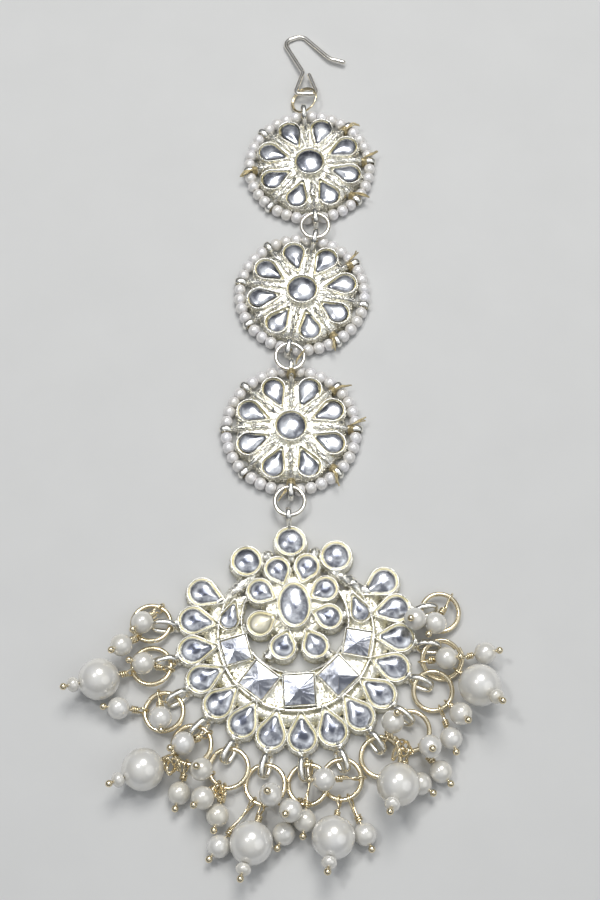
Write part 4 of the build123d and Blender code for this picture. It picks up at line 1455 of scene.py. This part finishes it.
class TIKKA_OT_rings(bpy.types.Operator):
    """Link rings, the jump rings of the drops and the hook's ring"""
    bl_idname = "tikka.rings"
    bl_label = "Link and jump rings"

    def execute(self, context):
        random = np.random.default_rng(8)
        names = [f"link_ring_{number}" for number in ROSETTES]
        names += [f"drop_ring_{number:02d}" for number in DROP_RINGS] + ["hook_ring"]
        for name in names:
            centre, normal, radius, wire = ring_measures(name)
            single = (random.uniform(0, 2 * math.pi), *SINGLE_RING)
            opening, turns, climb, spread, share = DOUBLE_RINGS.get(name, single)
            path = ring_path(centre, normal, radius, opening, turns, climb * MM, spread * MM)
            finish = hook_gilt if name.startswith("link") else wire_gilt
            mesh = wires(name, [path], wire * share, finish())
            finished(as_object(mesh, name + "_wire"), "gilt_wire", name)
        return {"FINISHED"}


# ---- drops ---------------------------------------------------------------------------
class Drop:
    """One pin: its loop, direction, head and pearl, measured from the solids."""

    def __init__(self, cloud, pearls):
        def gap(pearl):
            """How far the pin's wire passes from the middle of a pearl."""
            return abs(np.linalg.norm(cloud - pearl[0], axis=1) - PIN_WIRE).min()

        self.pearl, self.radius = min(pearls, key=gap)
        run = unit(main_axes(cloud)[0])
        reach = (cloud - self.pearl) @ run
        if reach.max() > -reach.min():
            run, reach = -run, -reach
        offset = cloud[reach > reach.max() - HEAD_END] - self.pearl
        sideways = middle(offset - np.outer(offset @ run, run))
        self.along = unit(run * (reach.max() - PIN_HEAD) + sideways)
        reach = (cloud - self.pearl) @ self.along
        self.loop = self.pearl + self.along * (reach.min() + PIN_LOOP)
        self.normal = unit(main_axes(cloud[reach < reach.min() + LOOP_END])[2])
        self.head = self.pearl + self.along * (reach.max() - PIN_HEAD)


def pearls_of(node):
    """Centre and radius of each pearl in a node."""
    return [(middle(cloud), float(((cloud.max(0) - cloud.min(0)) / 2).max()))
            for cloud in solids(node)]


def all_drops():
    """Large and small pearls by node, and the drops of each pin node."""
    large = {f"large_pearl_{n}": pearls_of(f"large_pearl_{n}") for n in LARGE_PEARLS}
    small = {f"small_pearls_{n:02d}": pearls_of(f"small_pearls_{n:02d}") for n in DROP_RINGS}
    for pearls, node in ((large, "large_drop_pins"), (small, "small_drop_pins")):
        every = [pearl for many in pearls.values() for pearl in many]
        yield pearls, node, [Drop(cloud, every) for cloud in solids(node)]


def pin_path(drop, given, random):
    """Wire from the last turn at the pearl, back round the neck, round the loop and out."""
    side = np.cross(drop.normal, drop.along)
    neck_radius = given.pin_radius * random.uniform(2.1, 3.4)
    near = (drop.pearl - drop.loop) @ drop.along - drop.radius - WRAP_GAP
    start = random.uniform(0, 2 * math.pi)
    path = []
    for step in range(WRAP_POINTS * given.wrap_turns + 1):
        turn = start + 2 * math.pi * step / WRAP_POINTS
        offset = drop.normal * math.cos(turn) + side * math.sin(turn)
        path.append(drop.loop + drop.along * (near - given.wrap_pitch * step / WRAP_POINTS)
                    + offset * neck_radius)
    for turn in np.linspace(math.radians(28), math.radians(332), 30):
        offset = drop.along * math.cos(turn) + side * math.sin(turn)
        rise = drop.normal * LOOP_RISE * math.cos(turn / 2)
        path.append(drop.loop + offset * LOOP_RADIUS + rise)
    for reach in np.linspace(STEM_START, (drop.head - drop.loop) @ drop.along - STEM_SHORT, 12):
        path.append(drop.loop + drop.along * reach)
    return smooth(np.array(path), 2)


def pearl_profile(radius, count):
    """Drilled pearl: round, with a narrow lip round each end of its hole."""
    edge = math.asin(PEARL_HOLE * 1.25 / radius)
    rows = [(-radius * math.cos(t), radius * math.sin(t))
            for t in np.linspace(edge, math.pi - edge, count)]
    end, lip = rows[-1][0], 0.03 * MM
    return [(-end, PEARL_HOLE * 0.8), (lip - end, PEARL_HOLE), *rows,
            (end - lip, PEARL_HOLE), (end, PEARL_HOLE * 0.8)]


def tip_profile():
    """Flattened bead with a hole."""
    rows = [(-TIP_LENGTH * math.cos(turn), TIP_RADIUS * math.sin(turn) ** 0.9)
            for turn in np.linspace(0.09 * math.pi, 0.91 * math.pi, 22)]
    lip = 0.1 * MM
    return [(rows[0][0] + lip, TIP_HOLE), *rows, (rows[-1][0] - lip, TIP_HOLE)]


class TIKKA_OT_pearls(bpy.types.Operator):
    """Drilled pearls of the drops and their tip beads"""
    bl_idname = "tikka.pearls"
    bl_label = "Pearls"

    def execute(self, context):
        random = np.random.default_rng(6)
        (large, _, large_drops), (small, _, small_drops) = all_drops()
        for nodes, drops, rings, sides, warmest in ((large, large_drops, 40, 64, 0.5),
                                                    (small, small_drops, 28, 44, 1.0)):
            for node, many in nodes.items():
                shape = Shape()
                for centre, radius in many:
                    drop = min(drops, key=lambda d: np.linalg.norm(d.pearl - centre))
                    shape.turned(pearl_profile(radius, rings), centre, drop.along, sides,
                                 tone=random.uniform(0.0, warmest))
                piece = as_object(shape.mesh("pearl"), node + "_nacre", nacre_skin())
                finished(piece, "pearl", node)
        tips = Shape()
        for drop in large_drops:
            origin = drop.pearl + drop.along * (drop.radius + TIP_REACH)
            tips.turned(tip_profile(), origin, drop.along, 36, tone=random.uniform(0.2, 0.9))
        piece = as_object(tips.mesh("tips"), "tip_beads_nacre", nacre_skin())
        finished(piece, "pearl", "large_tip_beads")
        return {"FINISHED"}


class TIKKA_OT_pins(bpy.types.Operator):
    """Head pins: wrapped loops, stems through the pearls and ball heads"""
    bl_idname = "tikka.pins"
    bl_label = "Head pins"

    def execute(self, context):
        given = sizes("wire")
        random = np.random.default_rng(3)
        profile = [(-given.head_radius * math.cos(t), given.head_radius * math.sin(t))
                   for t in np.linspace(0.04, math.pi - 0.04, 14)]
        for _, node, drops in all_drops():
            paths = [pin_path(drop, given, random) for drop in drops]
            heads = Shape()
            for drop in drops:
                heads.turned(profile, drop.head, drop.along, 20)
            pieces = [as_object(wires(node, paths, given.pin_radius, wire_gilt()), "wires"),
                      as_object(heads.mesh("heads"), "heads", wire_gilt())]
            finished(joined(node + "_wire", pieces), "gilt_wire", node)
        return {"FINISHED"}


class TIKKA_OT_tangles(bpy.types.Operator):
    """Knots of loose gilt wire between the drops"""
    bl_idname = "tikka.tangles"
    bl_label = "Wire tangles"

    def execute(self, context):
        random = np.random.default_rng(17)
        turn = circle(150)
        paths = []
        for x, y, z, radius in TANGLES:
            first, second, third = random.uniform(0, FULL_TURN, 3)
            knot = np.column_stack([np.cos(2 * turn + first) + 0.25 * np.cos(turn + third),
                                    np.sin(3 * turn + second) + 0.25 * np.sin(turn + first),
                                    0.6 * np.sin(5 * turn + third)])
            paths.append((np.array([x, y, z]) + knot * radius) * MM)
        mesh = wires("tangles", paths, sizes("wire").pin_radius * 1.1, wire_gilt(), closed=True)
        finished(as_object(Pendant().place(mesh), "loose_wire"), "gilt_wire")
        return {"FINISHED"}


# ---- add-on --------------------------------------------------------------------------
OPERATORS = (
    TIKKA_OT_stage, TIKKA_OT_hook, TIKKA_OT_rosettes, TIKKA_OT_rosette_stones,
    TIKKA_OT_seed_pearls, TIKKA_OT_thread_ends, TIKKA_OT_pendant, TIKKA_OT_pendant_stones,
    TIKKA_OT_rings, TIKKA_OT_pearls, TIKKA_OT_pins, TIKKA_OT_tangles,
)
GROUPS = {"casting": CastingSizes, "string": StringSizes, "wire": WireSizes, "colours": Colours}


class TIKKA_PT_panel(bpy.types.Panel):
    """Lists the sizes, colours and pieces of the tikka in the sidebar"""
    bl_label = "Maang tikka"
    bl_idname = "TIKKA_PT_panel"
    bl_space_type = "VIEW_3D"
    bl_region_type = "UI"
    bl_category = "Tikka"

    def draw(self, context):
        for name, group in GROUPS.items():
            for label in group.__annotations__:
                self.layout.prop(getattr(context.scene, "tikka_" + name), label)
        for operator in OPERATORS:
            self.layout.operator(operator.bl_idname)


def register():
    for name, group in GROUPS.items():
        bpy.utils.register_class(group)
        setattr(bpy.types.Scene, "tikka_" + name, PointerProperty(type=group))
    for made in (*OPERATORS, TIKKA_PT_panel):
        bpy.utils.register_class(made)


def unregister():
    for made in (TIKKA_PT_panel, *reversed(OPERATORS)):
        bpy.utils.unregister_class(made)
    for name, group in reversed(GROUPS.items()):
        delattr(bpy.types.Scene, "tikka_" + name)
        bpy.utils.unregister_class(group)


def main():
    register()
    for operator in OPERATORS:
        module, name = operator.bl_idname.split(".")
        getattr(getattr(bpy.ops, module), name)()


if __name__ == "__main__":
    main()
